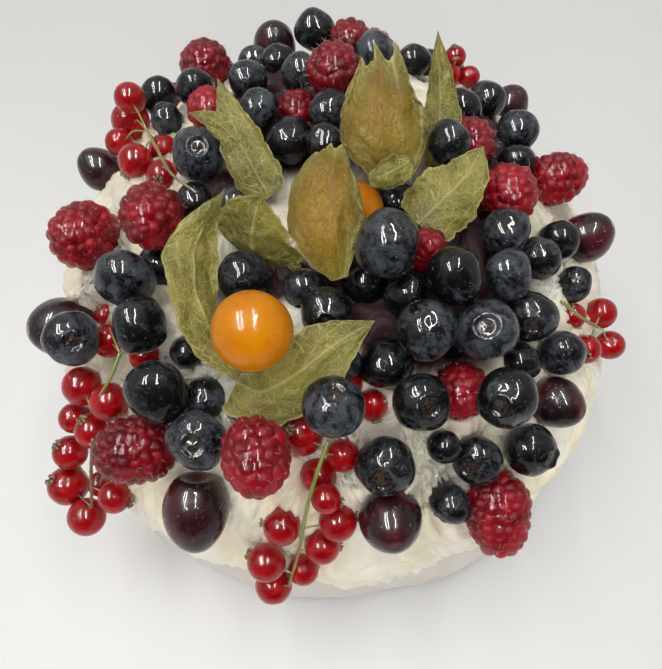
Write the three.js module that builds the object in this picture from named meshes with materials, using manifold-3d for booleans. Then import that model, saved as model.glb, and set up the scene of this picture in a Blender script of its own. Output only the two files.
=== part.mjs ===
import * as THREE from "three";
import { mergeVertices } from "three/addons/utils/BufferGeometryUtils.js";
import Module from "manifold-3d";

// A pavlova cake: a meringue base, a mound of whipped cream, and fruit heaped on it.
// Millimetres, +Z up. The origin is the middle of the flat underside, and -Y is the front.

const wasm = await Module();
wasm.setup();

// Gap kept between pieces that touch
const GAP = 0.3;

// Meringue base
const MERINGUE_HEIGHT = 34;
const MERINGUE_SIDES = 38;
// Each level: height, radius and how far its soft lobes stand out
const MERINGUE_LEVELS = [
  [0, 96, 0.8],
  [3, 98.6, 1.4],
  [12, 99, 1.8],
  [22, 97, 1.8],
  [30, 92, 1.2],
  [MERINGUE_HEIGHT, 84, 0.5],
];

// Cream mound: its height in the middle, how much lower it is at its reach, and its rise at the back
const MOUND_TOP = 92;
const MOUND_FALL = 45;
const MOUND_REACH = 97;
const BACK_RISE = 12;

// Cream edge, and the waves in it, each with its height and the number of waves round the cake
const RIM_RADIUS = 96;
const RIM_WAVES = [[1.6, 5, 1], [1.2, 11, 0]];
const LIP_HEIGHT = 32;
const LIP_DROOP = 4;
const LIP_THICKNESS = 1.6;
const LIP_CLEARANCE = 0.8;
const SIDE_BULGE = 0.8;
const SIDE_MIDDLE = 0.45;
const UNDERSIDE_INSET = 12;

// Spooned slabs and piped swirl on the cream
const SLAB_HEIGHT = 1.3;
const SLAB_PITCH_X = 33;
const SLAB_PITCH_Y = 37;
const SWIRL_HEIGHT = 0.7;
const SWIRL_PITCH = 18.5;
const SWIRL_ARMS = 3;

// Fineness of the cream, and how it is pressed in under what lies on it
const CREAM_RINGS = 13;
const PRESS_ROUNDS = 40;
const PRESS_SAMPLES = 5;
const LEAST_PULL = 0.3;

// How far a berry that lies on the cream sinks in, and the deepest that any is pressed
const SINK = 2;
const SINK_DEEPEST = 5;

// Settling of the fruit
const SETTLE_STEPS = 260;
const FREE_STEPS = 60;
const HOMING = 0.12;

// Crowns that are hidden, in degrees
const FIRST_BEARING = 40;
const TURN_STEP = 137.5;
const HIGHEST_TILT = -15;
const TILT_STEP = 23;
const TILT_RANGE = 50;

// Fruit shapes, in parts of the radius: distance from the axis, then height
const BLUEBERRY_PROFILE = [[0, -0.9], [0.72, -0.63], [1, -0.02], [0.76, 0.57], [0.38, 0.84], [0, 0.66]];
const CURRANT_PROFILE = [[0, -0.97], [0.76, -0.62], [1, 0], [0.76, 0.62], [0, 0.97]];
const PHYSALIS_PROFILE = [[0, -0.97], [0.62, -0.76], [0.98, -0.1], [0.74, 0.64], [0, 0.96]];
const BERRY_SIDES_MOST = 7;
const BERRY_SIDES_LEAST = 6;
const BERRY_SIDES_SIZE = 2.25;
const PHYSALIS_SIDES = 10;
const LONG_FRUIT_SIDES = 8;
const RASPBERRY_RINGS = [0.1, 0.31, 0.52, 0.73, 0.91];
const CHERRY_RINGS = [0.07, 0.34, 0.66, 0.91];
const DRUPELET_DEPTH = 0.1;
const HALF_STEP = 0.5;
const RASPBERRY_TAPER = 0.25;
const CHERRY_TAPER = 0.2;
const STALK_HOLLOW = 0.38;
const TIP_REACH = 0.485;

// Glaze bridges inside a bunch of blueberries, and the stalks of currants
const BUNCH_COUNT = 14;
const BUNCH_LIMIT = 12;
const BRIDGE_RADIUS = 1.3;
const BRIDGE_DEPTH = 0.55;
const BAR_SIDES = 3;
const STALK_RADIUS = 0.7;
const STALK_STEPS = 5;
const STALK_SIDES = 4;
const PLACES_PER_BEND = 4;

// Husk leaves: thickness, how far other pieces keep from their middle, how deep the notches
// between several tips are, and the crinkles along their edges
const HUSK_THICKNESS = 0.8;
const HUSK_CLEARANCE = 1;
const HUSK_ROOT_RADIUS = 3;
const TIP_NOTCH = 0.07;
const TIP_WIDTH = 1;
const TAPER_POWER = 0.75;
const CRINKLE_HEIGHT = 0.6;
const CRINKLE_WAVES = 9;
const CRINKLE_SKEW = 2;
const HUSK_LENGTH_STEPS = 6;
const HUSK_WIDTH_STEPS = 3;
const CURLED_WIDTH_STEPS = 6;
const CURLED_WRAP = 120;

// Blueberries: x, y, diameter, lift above the cream,
// then the bearing and elevation that the crown faces where it shows
const BLUEBERRIES = [
  [2, 86.5, 15, 4.5], [23.5, 63.5, 15, 2], [39.5, 73.5, 12.5, 1], [-18, 78.5, 11, 2],
  [-10, 71.5, 12.5, -0.5], [0.5, 51, 13, 2.5], [-19.5, 52, 13, 2.5], [-38, 55.5, 13.5, 2.5],
  [-58.5, 69, 13.5, 4], [-49, 48, 11.5, 0], [-33, 20.5, 16, 3.5, -70, 60], [-11.5, 32, 13, 3],
  [-11.5, 21.5, 15.5, 4, -65, 12], [4, 17, 11, 9.5], [6, 28.5, 13.5, 6.5], [-34.5, 7, 11.5, -2],
  [-31.5, 6.5, 11, -2.5], [49, 36, 13, 0.5], [61, 46.5, 13.5, 0.5], [67.5, 29, 14, 1],
  [64.5, 14.5, 11.5, 1], [38.5, 6, 12.5, 7.5], [22.5, -2.5, 13.5, -1], [14.5, -27.5, 17, 12.5],
  [-53.5, -20.5, 16.5, 5], [-49.5, -14, 14, 0], [-73, -34.5, 15, 8, -55, 45], [-52, -36, 15, 8],
  [-41, -41.5, 10, -0.5], [-47, -55, 16.5, 5], [-38, -55.5, 12, -1], [-38.5, -66, 15, 3.5, -85, 58],
  [-22.5, -24, 14.5, 2], [-6.5, -27.5, 12.5, 0.5], [-1.5, -40, 13.5, 4.5, -93, 35],
  [32.5, -38, 15, 11.5], [51.5, -18.5, 14, 5.5], [63, -21, 13, 0], [71, -13.5, 12.5, 0.5],
  [74.5, -25.5, 10.5, 0.5, -160, 35], [49.5, -32, 13.5, 6.5], [54.5, -43.5, 14, 1.5, -108, 35],
  [35, -48, 16, 4.5, -120, 64], [23, -50, 15.5, 4], [33.5, -16.5, 12.5, -6], [33, -45.5, 11.5, -3.5],
  [3.5, -55, 11.5, 3], [18, -33.5, 12.5, 0.5], [13, -30, 13, -2.5], [14, -53, 15, 2],
  [64.5, -49.5, 13, 0.5], [52.5, -49, 12, -1], [41, -67.5, 15, 11, -130, 41],
  [-2, -68, 15.5, 12, 50, 80], [20, -65, 15, 5, -74, 53], [27, -74.5, 9, 4],
  [9.5, -78.5, 15.5, 3, -110, 43], [34.5, -76.5, 13.5, 1, -140, 36], [50.5, -74.5, 14.5, 3, -42, 23],
  [28, -86, 11.5, 2.5], [48.5, 82, 13.5, 2], [-11.5, 99, 14, 1.5], [-34.5, 90.5, 14.5, 2],
];

// Raspberries: x, y, diameter, length, lift, then the bearing and elevation of the tip
const RASPBERRIES = [
  ["back", 15, 77.5, 16, 18, 2.5, -95, 26],
  ["back_middle", 5, 43.5, 19, 20, 2, -94, 22],
  ["back_left", -37, 77, 19.5, 20.5, 1.5, -96, 28],
  ["upper_left", -33.5, 42.5, 15, 17, 0, -86, 11],
  ["centre_back", -7.5, 37.5, 14, 15, -1, -91, 19],
  ["left", -74.5, 3, 22.5, 24.5, 0, -110, 40],
  ["left_inner", -48.5, -9.5, 19, 21, 8.5, -92, 21],
  ["right_upper", 48.5, 18.5, 18, 19, -2.5, -99, 22],
  ["right_middle", 56, -4.5, 18, 20, 1.5, -89, 19],
  ["right_outer", 77, 12, 18, 20, -0.5, 10, 10],
  ["centre", 28, -24, 13.5, 13.5, 5.5, -90, 60],
  ["front_right", 33, -60, 16, 18, -3, -106, 41],
  ["front_edge", 39.5, -88, 18.5, 24.5, 0, -95, -28],
  ["front_left", -58, -64.5, 20, 24, 0.5, -170, 10],
  ["front_middle", -22, -76, 18, 22, 9, -85, 20],
  ["rear_edge", 27.5, 94.5, 18, 20, 1.5, 70, -20],
  ["rear_left", -53.5, 82, 17, 19, 0, 120, -25],
];

// Cherries, in the same order of values
const CHERRIES = [
  ["back", -7, 88, 17, 17, 3, 0, 80],
  ["back_left", -79.5, 49, 16, 17, 0, 150, 40],
  ["back_right", 72.5, 55, 15, 16, 1, 40, 30],
  ["left", -82.5, -21, 20, 21, -1.5, -160, 30],
  ["right", 84.5, -7, 16.5, 17.5, 0, 0, 40],
  ["front_right", 62.5, -59.5, 15.5, 16.5, -1, -45, 30],
  ["front", 9.5, -89.5, 18, 18, 0, -90, 30],
  ["front_left", -42.5, -81.5, 18.5, 22.5, 0.5, -100, -35],
  ["rear", 8, 100.5, 15, 16, 0.5, 90, 10],
];

// Red currants on their stalks: each stalk's points, then x, y, z and diameter of its currants
const CURRANTS = [
  {
    name: "front",
    stalk: [[-4, -72, 90], [-8, -79, 85], [-12, -86, 76], [-15, -92, 64], [-20, -100, 50]],
    berries: [
      [-11, -67.5, 83, 11], [-1.5, -74, 80, 9], [-6.5, -75, 74.5, 10], [-6.5, -83, 78.5, 8],
      [-3.5, -88, 68.5, 10.5], [-19.5, -87, 66.5, 10.5], [-9, -92, 60.5, 10], [-25.5, -94, 55.5, 11],
      [-25, -98.5, 44.5, 11], [-15.5, -96, 50.5, 9],
    ],
  },
  {
    name: "left",
    stalk: [[-60, -40, 89], [-64, -46, 85], [-71, -51, 78]],
    berries: [
      [-67, -31, 81.5, 10.5], [-54.5, -37.5, 81.5, 10], [-77, -40.5, 72, 12], [-67, -48.5, 76, 11],
      [-71, -19.5, 77, 7],
    ],
  },
  {
    name: "left_edge",
    stalk: [[-73, -57, 70], [-76, -63, 62], [-79, -69, 52], [-81, -74, 46]],
    berries: [
      [-75, -52.5, 65.5, 11], [-83, -46, 61.5, 9.5], [-86.5, -54.5, 53.5, 11], [-89, -62.5, 45, 13],
      [-83.5, -71.5, 44.5, 12], [-77.5, -64, 49.5, 8], [-70.5, -70.5, 55.5, 10],
    ],
  },
  {
    name: "back_left",
    stalk: [[-54, 38, 96], [-50, 28, 98], [-44, 13, 102], [-36, 4, 102]],
    berries: [
      [-63.5, 63, 81.5, 14], [-62.5, 59.5, 91.5, 11], [-56.5, 31.5, 91, 11.5], [-49.5, 22, 91.5, 11],
      [-51, 34, 85.5, 10], [-68.5, 51, 81.5, 10],
    ],
  },
  {
    name: "back_right",
    stalk: [[52, 63, 92], [55, 68, 88], [57, 72, 82]],
    berries: [[54.5, 71.5, 85.5, 8], [58, 65, 82, 8], [52.5, 64, 84, 8], [55, 76, 75.5, 9]],
  },
  {
    name: "right",
    stalk: [[66, -36, 86], [73, -38, 79], [79, -38, 73]],
    berries: [[74, -33, 71.5, 8], [86, -29, 64, 10], [76.5, -43, 67.5, 9], [89, -37, 56.5, 9.5]],
  },
  {
    name: "middle",
    stalk: [[3, -53, 88], [6, -56, 86], [8, -58, 85]],
    berries: [[2.5, -54, 86, 8.5], [8.5, -59.5, 84, 8.5]],
  },
];

// Physalis fruit: x, y, z and diameter
const PHYSALIS = [
  ["front", -19.5, -50.5, 111.5, 20],
  ["middle", 10, -7, 100, 17.5],
  ["back", 24, 22, 102, 17],
];

// Papery husk leaves. The spine runs along the mid vein from root to tip, wrap is the angle
// that the cross-section curls through, and face is the side that the vein shows on. Blunt
// and open are how far root and tip are cut short of a point, and tips counts half the
// notches of an open tip.
const LEAF = { blunt: 0.15, open: 0, tips: 0 };
const HUSKS = [
  {
    name: "front",
    root: [-26, -52, 91],
    petals: [
      {
        ...LEAF,
        spine: [[-26, -51, 91], [-32, -43, 97], [-35, -33, 105], [-34, -22, 111], [-25, -9, 117]],
        width: 16, wrap: 60, face: [0.7, -0.35, 0.6], blunt: 0.06,
      },
      {
        ...LEAF,
        spine: [[-27, -54, 92], [-20, -59, 95], [-10, -57, 100], [1, -52, 105], [11, -48, 107]],
        width: 20, wrap: 45, face: [0.1, -0.4, 0.9], blunt: 0.24,
      },
    ],
  },
  {
    name: "broad",
    petals: [
      {
        ...LEAF,
        spine: [[-20, -16, 92], [-20, -18, 100], [-19, -18, 109], [-15, -15, 121]],
        width: 29, wrap: 50, face: [-0.45, -0.8, 0.35], blunt: 0.25,
      },
    ],
  },
  {
    name: "middle",
    petals: [
      {
        ...LEAF,
        spine: [[3, -32, 103], [1, -26, 112], [1, -17, 117], [3, -6, 119], [5, 4, 117]],
        width: 28, wrap: 150, face: [0, -0.35, 0.9], blunt: 0.04, open: 0.05,
      },
    ],
  },
  {
    name: "curl",
    petals: [
      {
        ...LEAF,
        spine: [[14, -6, 111], [19, -7, 114], [24, -4, 114], [27, 1, 111]],
        width: 9, wrap: 90, face: [0, -0.6, 0.8], blunt: 0.1,
      },
    ],
  },
  {
    name: "back",
    petals: [
      {
        ...LEAF,
        spine: [[22, -2, 106], [21, 4, 116], [20, 14, 121], [21, 26, 124], [20, 33, 126]],
        width: 34, wrap: 150, face: [0, -0.4, 0.9], blunt: 0.06, open: 0.1, tips: 3,
      },
    ],
  },
  {
    name: "tall",
    petals: [
      {
        ...LEAF,
        spine: [[36, 8, 99], [38, 17, 105], [39, 27, 114], [39, 37, 124]],
        width: 12, wrap: 60, face: [-0.5, -0.6, 0.5],
      },
    ],
  },
  {
    name: "right",
    petals: [
      {
        ...LEAF,
        spine: [[27, -14, 100], [34, -10, 104], [41, -6, 109], [47, 1, 113]],
        width: 20, wrap: 55, face: [-0.15, -0.4, 0.9], blunt: 0.22,
      },
    ],
  },
  {
    name: "left",
    petals: [
      {
        ...LEAF,
        spine: [[-15, 4, 97], [-19, 11, 103], [-23, 21, 109], [-27, 36, 116]],
        width: 15, wrap: 50, face: [-0.1, -0.5, 0.85],
      },
      {
        ...LEAF,
        spine: [[-19, 12, 104], [-24, 19, 108], [-30, 24, 111], [-37, 27, 112]],
        width: 8, wrap: 40, face: [-0.1, -0.4, 0.9], blunt: 0.1,
      },
    ],
  },
];

const COLOURS = {
  meringue: { color: 0xefedea, roughness: 0.45 },
  cream: { color: 0xf4efdf, roughness: 0.5 },
  blueberry: { color: 0x1b2233, roughness: 0.18 },
  raspberry: { color: 0xa8152a, roughness: 0.25 },
  cherry: { color: 0x2c0a14, roughness: 0.12 },
  currant: { color: 0xb30d16, roughness: 0.12 },
  physalis: { color: 0xe88a14, roughness: 0.2 },
  husk: { color: 0x9c9446, roughness: 0.6 },
};

const materials = {};
for (const [name, look] of Object.entries(COLOURS)) {
  materials[name] = new THREE.MeshStandardMaterial({ ...look, metalness: 0 });
}

// Direction from a bearing round Z and an elevation, both in degrees
function direction(bearing, elevation) {
  const polar = THREE.MathUtils.degToRad(90 - elevation);
  const azimuth = THREE.MathUtils.degToRad(bearing);
  return new THREE.Vector3(
    Math.sin(polar) * Math.cos(azimuth),
    Math.sin(polar) * Math.sin(azimuth),
    Math.cos(polar),
  );
}

// Direction for a fruit whose crown is hidden: turned and tilted by steps that never line up
function hiddenCrown(index) {
  const bearing = FIRST_BEARING + TURN_STEP * index;
  return direction(bearing, HIGHEST_TILT - ((index * TILT_STEP) % TILT_RANGE));
}

// Height of the cream under a place on the cake
function moundHeight(x, y) {
  const r = Math.hypot(x, y);
  return MOUND_TOP - MOUND_FALL * (r / MOUND_REACH) ** 4 + (BACK_RISE * Math.max(y, 0)) / MOUND_REACH;
}

// Unit vector pointing out of the cream there
function moundNormal(x, y) {
  const step = 0.5;
  const dx = (moundHeight(x + step, y) - moundHeight(x - step, y)) / (2 * step);
  const dy = (moundHeight(x, y + step) - moundHeight(x, y - step)) / (2 * step);
  return new THREE.Vector3(-dx, -dy, 1).normalize();
}

// Place of a fruit's middle that lies on the cream at x, y, raised by lift
function restingPlace(x, y, radius, lift) {
  const normal = moundNormal(x, y);
  return new THREE.Vector3(x, y, moundHeight(x, y) + (radius - SINK + lift) / normal.z);
}

// A fruit to settle: it is one ball, or two balls apart by its extra length
function makeFruit(kind, name, place, diameter, length, axis) {
  return {
    kind,
    name,
    place: place.clone(),
    home: place.clone(),
    radius: diameter / 2,
    length,
    half: Math.max(0, (length - diameter) / 2),
    axis,
    stalk: null,
  };
}

function listBlueberries() {
  return BLUEBERRIES.map(([x, y, diameter, lift, bearing, elevation], index) => {
    const axis = bearing === undefined ? hiddenCrown(index) : direction(bearing, elevation);
    return makeFruit("blueberry", "", restingPlace(x, y, diameter / 2, lift), diameter, diameter, axis);
  });
}

function listLongFruit(kind, rows) {
  return rows.map(([name, x, y, diameter, length, lift, bearing, elevation]) => {
    const place = restingPlace(x, y, diameter / 2, lift);
    return makeFruit(kind, name, place, diameter, length, direction(bearing, elevation));
  });
}

function listCurrants() {
  return CURRANTS.flatMap(({ name, berries }) => berries.map(([x, y, z, diameter], index) => {
    const place = new THREE.Vector3(x, y, z);
    const fruit = makeFruit("currant", name, place, diameter, diameter, hiddenCrown(index));
    fruit.stalk = name;
    return fruit;
  }));
}

function listPhysalis() {
  const axis = direction(-70, 50);
  return PHYSALIS.map(([name, x, y, z, diameter]) => {
    return makeFruit("physalis", name, new THREE.Vector3(x, y, z), diameter, diameter, axis);
  });
}

// Middles of the balls that stand for a fruit
function ballsOf(fruit) {
  if (fruit.half === 0) {
    return [fruit.place];
  }
  const reach = fruit.axis.clone().multiplyScalar(fruit.half);
  return [fruit.place.clone().add(reach), fruit.place.clone().sub(reach)];
}

function separate(first, second) {
  const reach = first.radius + second.radius + first.half + second.half + GAP;
  if (first.place.distanceTo(second.place) > reach) {
    return;
  }
  for (const a of ballsOf(first)) {
    for (const b of ballsOf(second)) {
      const between = b.clone().sub(a);
      const overlap = first.radius + second.radius + GAP - between.length();
      if (overlap > 0) {
        between.setLength(overlap / 2);
        first.place.sub(between);
        second.place.add(between);
      }
    }
  }
}

function clearPoint(fruit, obstacle) {
  for (const ball of ballsOf(fruit)) {
    const away = ball.clone().sub(obstacle.point);
    const overlap = fruit.radius + obstacle.clearance - away.length();
    if (overlap > 0) {
      fruit.place.add(away.setLength(overlap));
    }
  }
}

function liftOffCream(fruit) {
  const normal = moundNormal(fruit.place.x, fruit.place.y);
  const height = (fruit.place.z - moundHeight(fruit.place.x, fruit.place.y)) * normal.z;
  const missing = fruit.radius - SINK_DEEPEST - height;
  if (missing > 0) {
    fruit.place.addScaledVector(normal, missing);
  }
}

// Moves the fruit apart until none touch, keeping each close to where it was put
function settle(fruits, obstacles) {
  for (let step = 0; step < SETTLE_STEPS; step += 1) {
    if (step < SETTLE_STEPS - FREE_STEPS) {
      fruits.forEach((fruit) => fruit.place.lerp(fruit.home, HOMING));
    }
    fruits.forEach(liftOffCream);
    for (let i = 0; i < fruits.length; i += 1) {
      for (let j = i + 1; j < fruits.length; j += 1) {
        separate(fruits[i], fruits[j]);
      }
    }
    for (const obstacle of obstacles) {
      for (const fruit of fruits) {
        if (obstacle.stalk === null || obstacle.stalk !== fruit.stalk) {
          clearPoint(fruit, obstacle);
        }
      }
    }
  }
}

function smoothCurve(points) {
  const places = points.map((point) => new THREE.Vector3(...point));
  return new THREE.CatmullRomCurve3(places, false, "centripetal");
}

// Point of a husk petal at u along the vein and v across it, from -1 to 1, moved out by offset
function petalPoint(petal, curve, u, v, offset) {
  const reach = u * (1 - TIP_NOTCH * (1 - Math.cos(petal.tips * Math.PI * v)));
  const vein = curve.getPoint(reach);
  const along = curve.getTangent(reach);
  const face = new THREE.Vector3(...petal.face);
  const out = face.addScaledVector(along, -face.dot(along)).normalize();
  const across = along.clone().cross(out);
  const taper = Math.sin(Math.PI * (petal.blunt + (1 - petal.blunt - petal.open) * u)) ** TAPER_POWER;
  const halfWidth = Math.max(TIP_WIDTH, petal.width * taper) / 2;
  const curl = THREE.MathUtils.degToRad(petal.wrap / 2);
  const bend = petal.width / 2 / curl;
  const angle = (v * halfWidth) / bend;
  const crinkle = CRINKLE_HEIGHT * Math.sin(CRINKLE_WAVES * u + CRINKLE_SKEW * v) * Math.abs(v) * taper;
  return vein
    .addScaledVector(across, (bend + offset) * Math.sin(angle))
    .addScaledVector(out, (bend + offset) * Math.cos(angle) - bend + crinkle);
}

// A petal as a closed thin shell, both faces split into triangles alike
function petalGeometry(petal) {
  const curve = smoothCurve(petal.spine);
  const lengthSteps = HUSK_LENGTH_STEPS;
  const widthSteps = petal.wrap > CURLED_WRAP ? CURLED_WIDTH_STEPS : HUSK_WIDTH_STEPS;
  const positions = [];
  for (const side of [1, -1]) {
    for (let i = 0; i <= lengthSteps; i += 1) {
      for (let j = 0; j <= widthSteps; j += 1) {
        const v = (2 * j) / widthSteps - 1;
        const point = petalPoint(petal, curve, i / lengthSteps, v, (side * HUSK_THICKNESS) / 2);
        positions.push(point.x, point.y, point.z);
      }
    }
  }
  const row = widthSteps + 1;
  const back = row * (lengthSteps + 1);
  const indices = [];
  for (let i = 0; i < lengthSteps; i += 1) {
    for (let j = 0; j < widthSteps; j += 1) {
      const a = i * row + j;
      const b = back + a;
      indices.push(a, a + row, a + row + 1, a, a + row + 1, a + 1);
      indices.push(b, b + row + 1, b + row, b, b + 1, b + row + 1);
    }
  }
  const outline = petalOutline(lengthSteps, widthSteps);
  outline.forEach((from, index) => {
    const to = outline[(index + 1) % outline.length];
    indices.push(from, to, back + to, from, back + to, back + from);
  });
  return indexedGeometry(positions, indices);
}

// Numbers of the points round the edge of a petal's grid
function petalOutline(lengthSteps, widthSteps) {
  const row = widthSteps + 1;
  const upTo = (count) => Array.from({ length: count }, (_, k) => k);
  return [
    ...upTo(widthSteps),
    ...upTo(lengthSteps).map((i) => i * row + widthSteps),
    ...upTo(widthSteps).map((j) => lengthSteps * row + widthSteps - j),
    ...upTo(lengthSteps).map((i) => (lengthSteps - i) * row),
  ];
}

function indexedGeometry(positions, indices) {
  const geometry = new THREE.BufferGeometry();
  geometry.setAttribute("position", new THREE.Float32BufferAttribute(positions, 3));
  geometry.setIndex(indices);
  return geometry;
}

// Joins shared vertices and drops triangles without an area
function weld(geometry) {
  geometry.deleteAttribute("normal");
  geometry.deleteAttribute("uv");
  const merged = mergeVertices(geometry, 1e-4);
  const old = merged.index.array;
  const kept = [];
  for (let i = 0; i < old.length; i += 3) {
    const [a, b, c] = [old[i], old[i + 1], old[i + 2]];
    if (a !== b && b !== c && a !== c) {
      kept.push(a, b, c);
    }
  }
  merged.setIndex(kept);
  return merged;
}

// Turns geometry inside out if its faces point inwards
function faceOut(geometry) {
  const position = geometry.getAttribute("position");
  const index = geometry.index.array;
  const corners = [new THREE.Vector3(), new THREE.Vector3(), new THREE.Vector3()];
  let volume = 0;
  for (let i = 0; i < index.length; i += 3) {
    corners.forEach((corner, k) => corner.fromBufferAttribute(position, index[i + k]));
    volume += corners[0].dot(corners[1].clone().cross(corners[2]));
  }
  if (volume < 0) {
    for (let i = 0; i < index.length; i += 3) {
      [index[i + 1], index[i + 2]] = [index[i + 2], index[i + 1]];
    }
  }
  return geometry;
}

// Solid of a stack of level rings closed by a point at each end
function ringStack(rings, bottom, top) {
  const sides = rings[0].length;
  const positions = [bottom, ...rings.flat(), top].flatMap((point) => [point.x, point.y, point.z]);
  const last = 1 + rings.length * sides;
  const indices = [];
  for (let j = 0; j < sides; j += 1) {
    const next = (j + 1) % sides;
    indices.push(0, 1 + next, 1 + j);
    indices.push(last, last - sides + j, last - sides + next);
    for (let i = 0; i < rings.length - 1; i += 1) {
      const low = 1 + i * sides;
      const high = low + sides;
      indices.push(low + j, low + next, high + next, low + j, high + next, high + j);
    }
  }
  return faceOut(indexedGeometry(positions, indices));
}

// Round fruit turned from a profile, its axis along +Z
function turnedGeometry(profile, sides, radius) {
  const points = profile.map(([out, up]) => new THREE.Vector2(out * radius, up * radius));
  const geometry = weld(new THREE.LatheGeometry(points, sides));
  geometry.rotateX(Math.PI / 2);
  return faceOut(geometry);
}

// Raspberry or cherry: a capsule that narrows to its tip, +Z, with a hollow at the stalk end
function longFruitGeometry(fruit, levels, taper, bump) {
  const { radius, length, half } = fruit;
  const rings = levels.map((t, i) => {
    const z = (t - 0.5) * length;
    const past = Math.min(1, Math.max(0, Math.abs(z) - half) / radius);
    const across = radius * Math.sqrt(1 - past * past) * (1 - taper * t * t);
    return Array.from({ length: LONG_FRUIT_SIDES }, (_, j) => {
      const angle = (2 * Math.PI * (j + (i % 2) * bump)) / LONG_FRUIT_SIDES;
      const dent = (i + j) % 2 === 0 ? 1 : 1 - bump * 2 * DRUPELET_DEPTH;
      return new THREE.Vector3(across * dent * Math.cos(angle), across * dent * Math.sin(angle), z);
    });
  });
  const hollow = new THREE.Vector3(0, 0, -STALK_HOLLOW * length);
  return ringStack(rings, hollow, new THREE.Vector3(0, 0, TIP_REACH * length));
}

function standAlong(geometry, axis, place) {
  const turn = new THREE.Quaternion().setFromUnitVectors(new THREE.Vector3(0, 0, 1), axis);
  return geometry.applyQuaternion(turn).translate(place.x, place.y, place.z);
}

// Thin round bar between two points
function barGeometry(from, to, radius, sides) {
  const span = to.clone().sub(from);
  const bar = weld(new THREE.CylinderGeometry(radius, radius, span.length(), sides));
  bar.rotateX(Math.PI / 2);
  return standAlong(faceOut(bar), span.clone().normalize(), from.clone().lerp(to, 0.5));
}

function toSolid(geometry) {
  return new wasm.Manifold(new wasm.Mesh({
    numProp: 3,
    vertProperties: new Float32Array(geometry.getAttribute("position").array),
    triVerts: new Uint32Array(geometry.index.array),
  }));
}

function toGeometry(solid) {
  const mesh = solid.getMesh();
  return indexedGeometry(Array.from(mesh.vertProperties), Array.from(mesh.triVerts));
}

function joinAll(geometries) {
  return toGeometry(geometries.map(toSolid).reduce((whole, solid) => whole.add(solid)));
}

function meringueLobes(angle) {
  return 0.6 * Math.cos(11 * angle + 0.7) + 0.4 * Math.cos(7 * angle + 2.1);
}

function meringueGeometry() {
  const rings = MERINGUE_LEVELS.map(([height, radius, lobe]) => {
    return Array.from({ length: MERINGUE_SIDES }, (_, j) => {
      const angle = (2 * Math.PI * j) / MERINGUE_SIDES;
      const r = radius + lobe * meringueLobes(angle);
      return new THREE.Vector3(r * Math.cos(angle), r * Math.sin(angle), height);
    });
  });
  return ringStack(rings, new THREE.Vector3(), new THREE.Vector3(0, 0, MERINGUE_HEIGHT));
}

function creamRim(angle) {
  let radius = RIM_RADIUS;
  for (const [height, count, shift] of RIM_WAVES) {
    radius += height * Math.sin(count * angle + shift);
  }
  return radius;
}

// Broad spooned slabs and the swirl that the cream was piped in
function creamRelief(x, y) {
  const turn = 2 * Math.PI;
  const slabs = Math.sin((turn * x) / SLAB_PITCH_X + 1.1) * Math.sin((turn * y) / SLAB_PITCH_Y + 0.4);
  const swirl = Math.sin((turn * Math.hypot(x, y)) / SWIRL_PITCH + SWIRL_ARMS * Math.atan2(y, x));
  return SLAB_HEIGHT * slabs + SWIRL_HEIGHT * swirl;
}

// Barycentric places spread over a triangle
function triangleSamples() {
  const samples = [];
  for (let a = 0; a <= PRESS_SAMPLES; a += 1) {
    for (let b = 0; a + b <= PRESS_SAMPLES; b += 1) {
      samples.push([a, b, PRESS_SAMPLES - a - b].map((share) => share / PRESS_SAMPLES));
    }
  }
  return samples;
}

// Moves the corners of one triangle inwards until none of its samples is inside the ball
function pressTriangle(corners, inwards, samples, { ball, radius }) {
  for (const weights of samples) {
    const sample = new THREE.Vector3();
    corners.forEach((corner, k) => sample.addScaledVector(corner, weights[k]));
    const away = sample.sub(ball);
    const depth = radius - away.length();
    if (depth > 0) {
      away.normalize();
      const pull = inwards.map((inward, k) => weights[k] * Math.max(LEAST_PULL, away.dot(inward)));
      const total = pull.reduce((sum, share) => sum + share * share, 0);
      corners.forEach((corner, k) => corner.addScaledVector(inwards[k], (depth * pull[k]) / total));
    }
  }
}

// Presses the cream in under the fruit and husks that lie on it. Each of its points moves
// only along its own inward direction.
function pressCream(points, inwards, indices, pressers) {
  const samples = triangleSamples();
  const middle = new THREE.Vector3();
  for (let round = 0; round < PRESS_ROUNDS; round += 1) {
    for (let i = 0; i < indices.length; i += 3) {
      const corners = indices.slice(i, i + 3).map((index) => points[index]);
      const directions = indices.slice(i, i + 3).map((index) => inwards[index]);
      middle.copy(corners[0]).add(corners[1]).add(corners[2]).divideScalar(3);
      const size = Math.max(...corners.map((corner) => corner.distanceTo(middle)));
      for (const presser of pressers) {
        if (middle.distanceToSquared(presser.ball) < (presser.radius + size) ** 2) {
          pressTriangle(corners, directions, samples, presser);
        }
      }
    }
  }
}

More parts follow.
